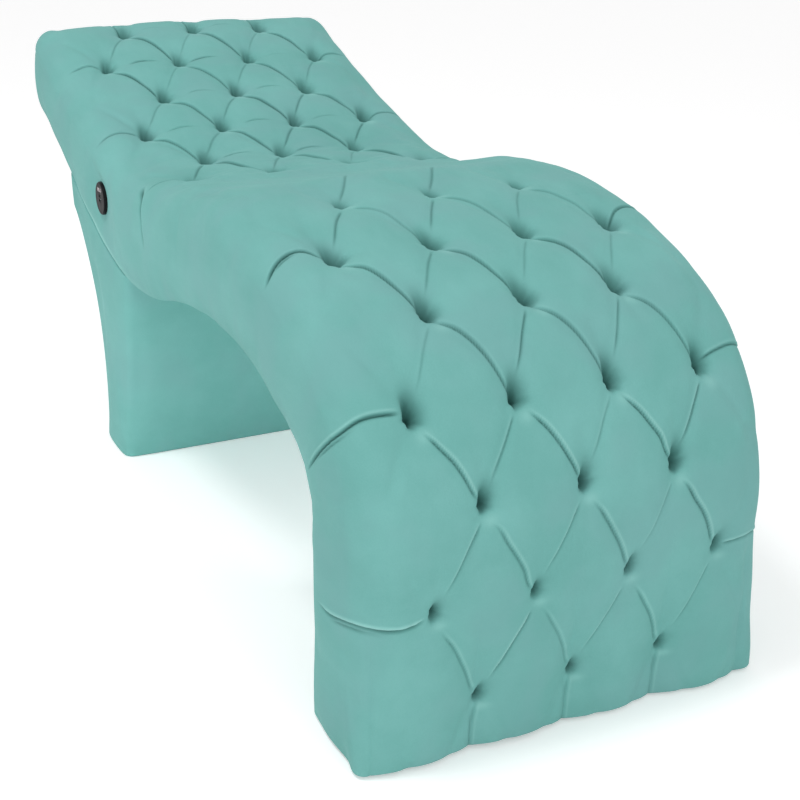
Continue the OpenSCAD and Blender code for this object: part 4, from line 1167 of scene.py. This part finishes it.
# Painted highlight: light teal where it is below zero.
teal = velvet.blend(painted_shading_share * -1, teal, rgb(158, 214, 208))
creases = velvet.noise(13.0, 3.0, (0.4, 0.9, 1.0), 0.45)
relief = velvet.bump(creases, 0.006, 0.22)
relief = velvet.bump(grain * 0.6 + pile * 0.4, 0.0009, 0.45, relief)
velvet_material = velvet.finish(Base_Color=teal, Roughness=0.92 - tone * 0.14, Normal=relief)
for piece in (body, buttons, pedestal):
    piece.data.materials.append(velvet_material)

# %% [markdown]
# ## The boards inside
#
# The ribs, rails and decks are birch plywood. Its face has long grain with darker streaks and
# small flecks, and its edge shows thin plies, light and dark by turns. The pedestal's boards
# and the bent liners are fibreboard, brown and even, with short fibres pressed every way.

# %% Plywood and fibreboard
PLY = 0.0015
plywood = Paint("birch_plywood", Specular_IOR_Level=0.3)
long_grain = plywood.noise(9.0, 5.0, (1.0, 9.0, 9.0), 0.6)
flecks = plywood.noise(160.0, 2.0, (0.12, 1.0, 1.0)).step(0.60, 0.78)
across = plywood.across(plywood.place)
plies = ((across * (math.pi / PLY)).sine() * 0.5 + 0.5).step(0.35, 0.65)
normal = plywood.node("ShaderNodeNewGeometry", {}, {}, "Normal")
facing = plywood.across(normal).size().step(0.6, 0.9)
face_wood = plywood.blend(long_grain.step(0.35, 0.70), rgb(214, 184, 140), rgb(190, 152, 104))
face_wood = plywood.blend(flecks * 0.5, face_wood, rgb(150, 112, 72))
edge_wood = plywood.blend(plies, rgb(196, 160, 114), rgb(128, 92, 58))
wood = plywood.blend(facing, edge_wood, face_wood)
plywood_material = plywood.finish(
    Base_Color=wood, Roughness=long_grain * 0.2 + 0.55,
    Normal=plywood.bump(long_grain + flecks * 0.4, 0.0006, 0.5),
)

fibreboard = Paint("fibreboard", Specular_IOR_Level=0.25)
fibres = fibreboard.noise(300.0, 4.0, roughness=0.7)
clouds = fibreboard.noise(14.0, 3.0)
pressed = (fibres * 0.6 + clouds * 0.4).step(0.35, 0.65)
brown = fibreboard.blend(pressed, rgb(118, 88, 58), rgb(150, 118, 84))
fibreboard_material = fibreboard.finish(
    Base_Color=brown, Roughness=fibres * 0.15 + 0.72, Normal=fibreboard.bump(fibres, 0.0005, 0.5),
)

# %% [markdown]
# ## Metal, cord and plastics
#
# The bolts, tee nuts and charging slots are zinc-plated steel, a little cloudy and finely
# scratched. The ties are waxed off-white nylon. The socket is glossy black with faint smears
# from fingers, its lock nut and the glides are duller moulded plastic, and its marks are pale.

# %% Steel, nylon and plastics
steel = Paint("zinc_plated_steel", Metallic=1.0)
cloudy = steel.noise(120.0, 3.0)
scratches = steel.noise(900.0, 2.0, (1.0, 0.08, 1.0))
steel_material = steel.finish(
    Base_Color=steel.blend(cloudy, rgb(168, 170, 174), rgb(206, 206, 204)),
    Roughness=cloudy * 0.18 + scratches * 0.12 + 0.20, Normal=steel.bump(scratches, 0.0001, 0.4),
)

nylon = Paint("waxed_nylon")
strands = nylon.noise(1200.0, 2.0, (1.0, 1.0, 0.3))
nylon_material = nylon.finish(
    Base_Color=nylon.blend(strands, rgb(208, 204, 190), rgb(232, 230, 220)),
    Roughness=strands * 0.2 + 0.45, Normal=nylon.bump(strands, 0.0002, 0.6),
)


def black_plastic(name, shade, rough, smear_and_painted_shade):
    """Moulded black plastic: its shade, its roughness, and how much smears dull it."""
    plastic = Paint(name, Specular_IOR_Level=0.06)
    smears = plastic.noise(55.0, 3.0, (1.0, 1.0, 0.6)).step(0.40, 0.72)
    orange_peel = plastic.noise(900.0, 1.0)
    return plastic.finish(
        Base_Color=plastic.blend(smears, rgb(*shade), rgb(*(v + 7 for v in shade))),
        Roughness=smears * smear_and_painted_shade + rough, Normal=plastic.bump(orange_peel, 0.00006, 0.35),
    )


glossy = black_plastic("glossy_black", (20, 20, 22), 0.30, 0.12)
satin = black_plastic("satin_black", (40, 40, 42), 0.42, 0.10)
glide_black = black_plastic("glide_black", (30, 30, 31), 0.55, 0.12)

pale = Paint("pale_mark", Specular_IOR_Level=0.4)
worn = pale.noise(600.0, 2.0)
pale_material = pale.finish(
    Base_Color=pale.blend(worn, rgb(188, 180, 182), rgb(222, 214, 216)), Roughness=worn * 0.2 + 0.5,
)
marks.data.materials.append(pale_material)

# %% Dressing the CAD's own parts
FINISH = {
    "plywood": plywood_material,
    "hardboard": fibreboard_material,
    "nylon": nylon_material,
    "steel": steel_material,
    "glide_plastic": glide_black,
    "black_plastic": glossy,
    "velvet": velvet_material,
}
subparts = frame["record"]["subparts"]
for part in subparts:
    material = satin if part["node"] == "socket_lock_nut" else FINISH[part["material_slot"]]
    mesh = frame["nodes"][part["node"]].data
    mesh.materials.clear()
    mesh.materials.append(material)
print(len(subparts), "CAD parts dressed")

# %% [markdown]
# ## Light and floor
#
# A soft lamp hangs above the near side and a broader one stands in front of the foot, so that
# the shin is nearly as light as the top. A narrow, weak one aims low along the near side, and
# a very small one under the arch gives the pedestal the light that a pale floor throws back.
# The air of a white room fills the rest. The world is pure white only where the camera or a
# reflection sees it, and the air that lights the couch is dimmer, so a colour comes out about
# as it was written. The floor is pale and shines a little of its own light to the camera, so
# it stays white and keeps the shadow.


# %% The room
def white_room(air_strength):
    """A world with two whites: one that is seen, at strength 1, and one that lights."""
    world = bpy.data.worlds.new("room")
    bpy.context.scene.world = world
    room = Graph(world)
    camera_ray, glossy_ray, clear_ray = (
        room.node("ShaderNodeLightPath", {}, {}, "Is %s Ray" % kind)
        for kind in ("Camera", "Glossy", "Transmission")
    )
    air, white = (
        room.node("ShaderNodeBackground", {}, {"Color": (1, 1, 1, 1), "Strength": strength})
        for strength in (air_strength, 1.0)
    )
    seen = camera_ray.most(glossy_ray).most(clear_ray)
    mixed = room.node("ShaderNodeMixShader", {}, [seen, air, white])
    room.tree.links.new(mixed.socket, room.tree.nodes["World Output"].inputs["Surface"])


def soft_lamp(name, place, target, size, watts, spread=180):
    """A round area lamp that faces its target. Its light spreads over an angle in degrees."""
    lamp = bpy.data.lights.new(name, "AREA")
    lamp.shape = "DISK"
    lamp.size = size
    lamp.energy = watts
    lamp.spread = math.radians(spread)
    made = bpy.data.objects.new(name, lamp)
    bpy.context.scene.collection.objects.link(made)
    turn = (Vector(place) - Vector(target)).to_track_quat("Z", "Y").to_matrix().to_4x4()
    made.matrix_world = Matrix.Translation(Vector(place)) @ turn


white_room(0.675)
soft_lamp("key", (0.4, -1.6, 4.3), (0, 0, 0.45), 1.0, 54)
soft_lamp("fill", (3.8, -0.1, 1.0), (0.5, 0, 0.4), 1.6, 20)
soft_lamp("low", (2.4, -2.6, 0.4), (-0.8, 0, 0.06), 1.0, 2.0, 36)
soft_lamp("under", (0.45, -0.10, 0.20), (-0.30, 0, 0.20), 0.3, 0.4, 120)
bpy.context.scene.view_settings.view_transform = "Standard"

# %% A pale floor
FLOOR_REACH = 30.0
corners = np.array([(-1, -1, 0), (1, -1, 0), (1, 1, 0), (-1, 1, 0)]) * FLOOR_REACH
floor = new_mesh("floor", corners, [(0, 1, 2, 3)])
floor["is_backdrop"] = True
pale_floor = Paint(
    "pale_floor", Base_Color=(0.94, 0.94, 0.94, 1), Roughness=1.0, Emission_Strength=0.30,
)
seen = pale_floor.node("ShaderNodeLightPath", {}, {}, "Is Camera Ray")
glow = pale_floor.blend(seen, (0, 0, 0, 1), (1, 1, 1, 1))
floor.data.materials.append(pale_floor.finish(Emission_Color=glow))

# %% [markdown]
# ## Sizes, and the end
#
# The dressed couch should be as large as the CAD says, so the CAD's box is printed at the
# start and how much the box has grown at the end.

# %% Finish
box_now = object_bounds()
grown = [round((b - a) * 1000, 1) for a, b in zip(cad_box[1] - cad_box[0], box_now[1] - box_now[0])]
print("grown by", grown, "mm in X, Y and Z")
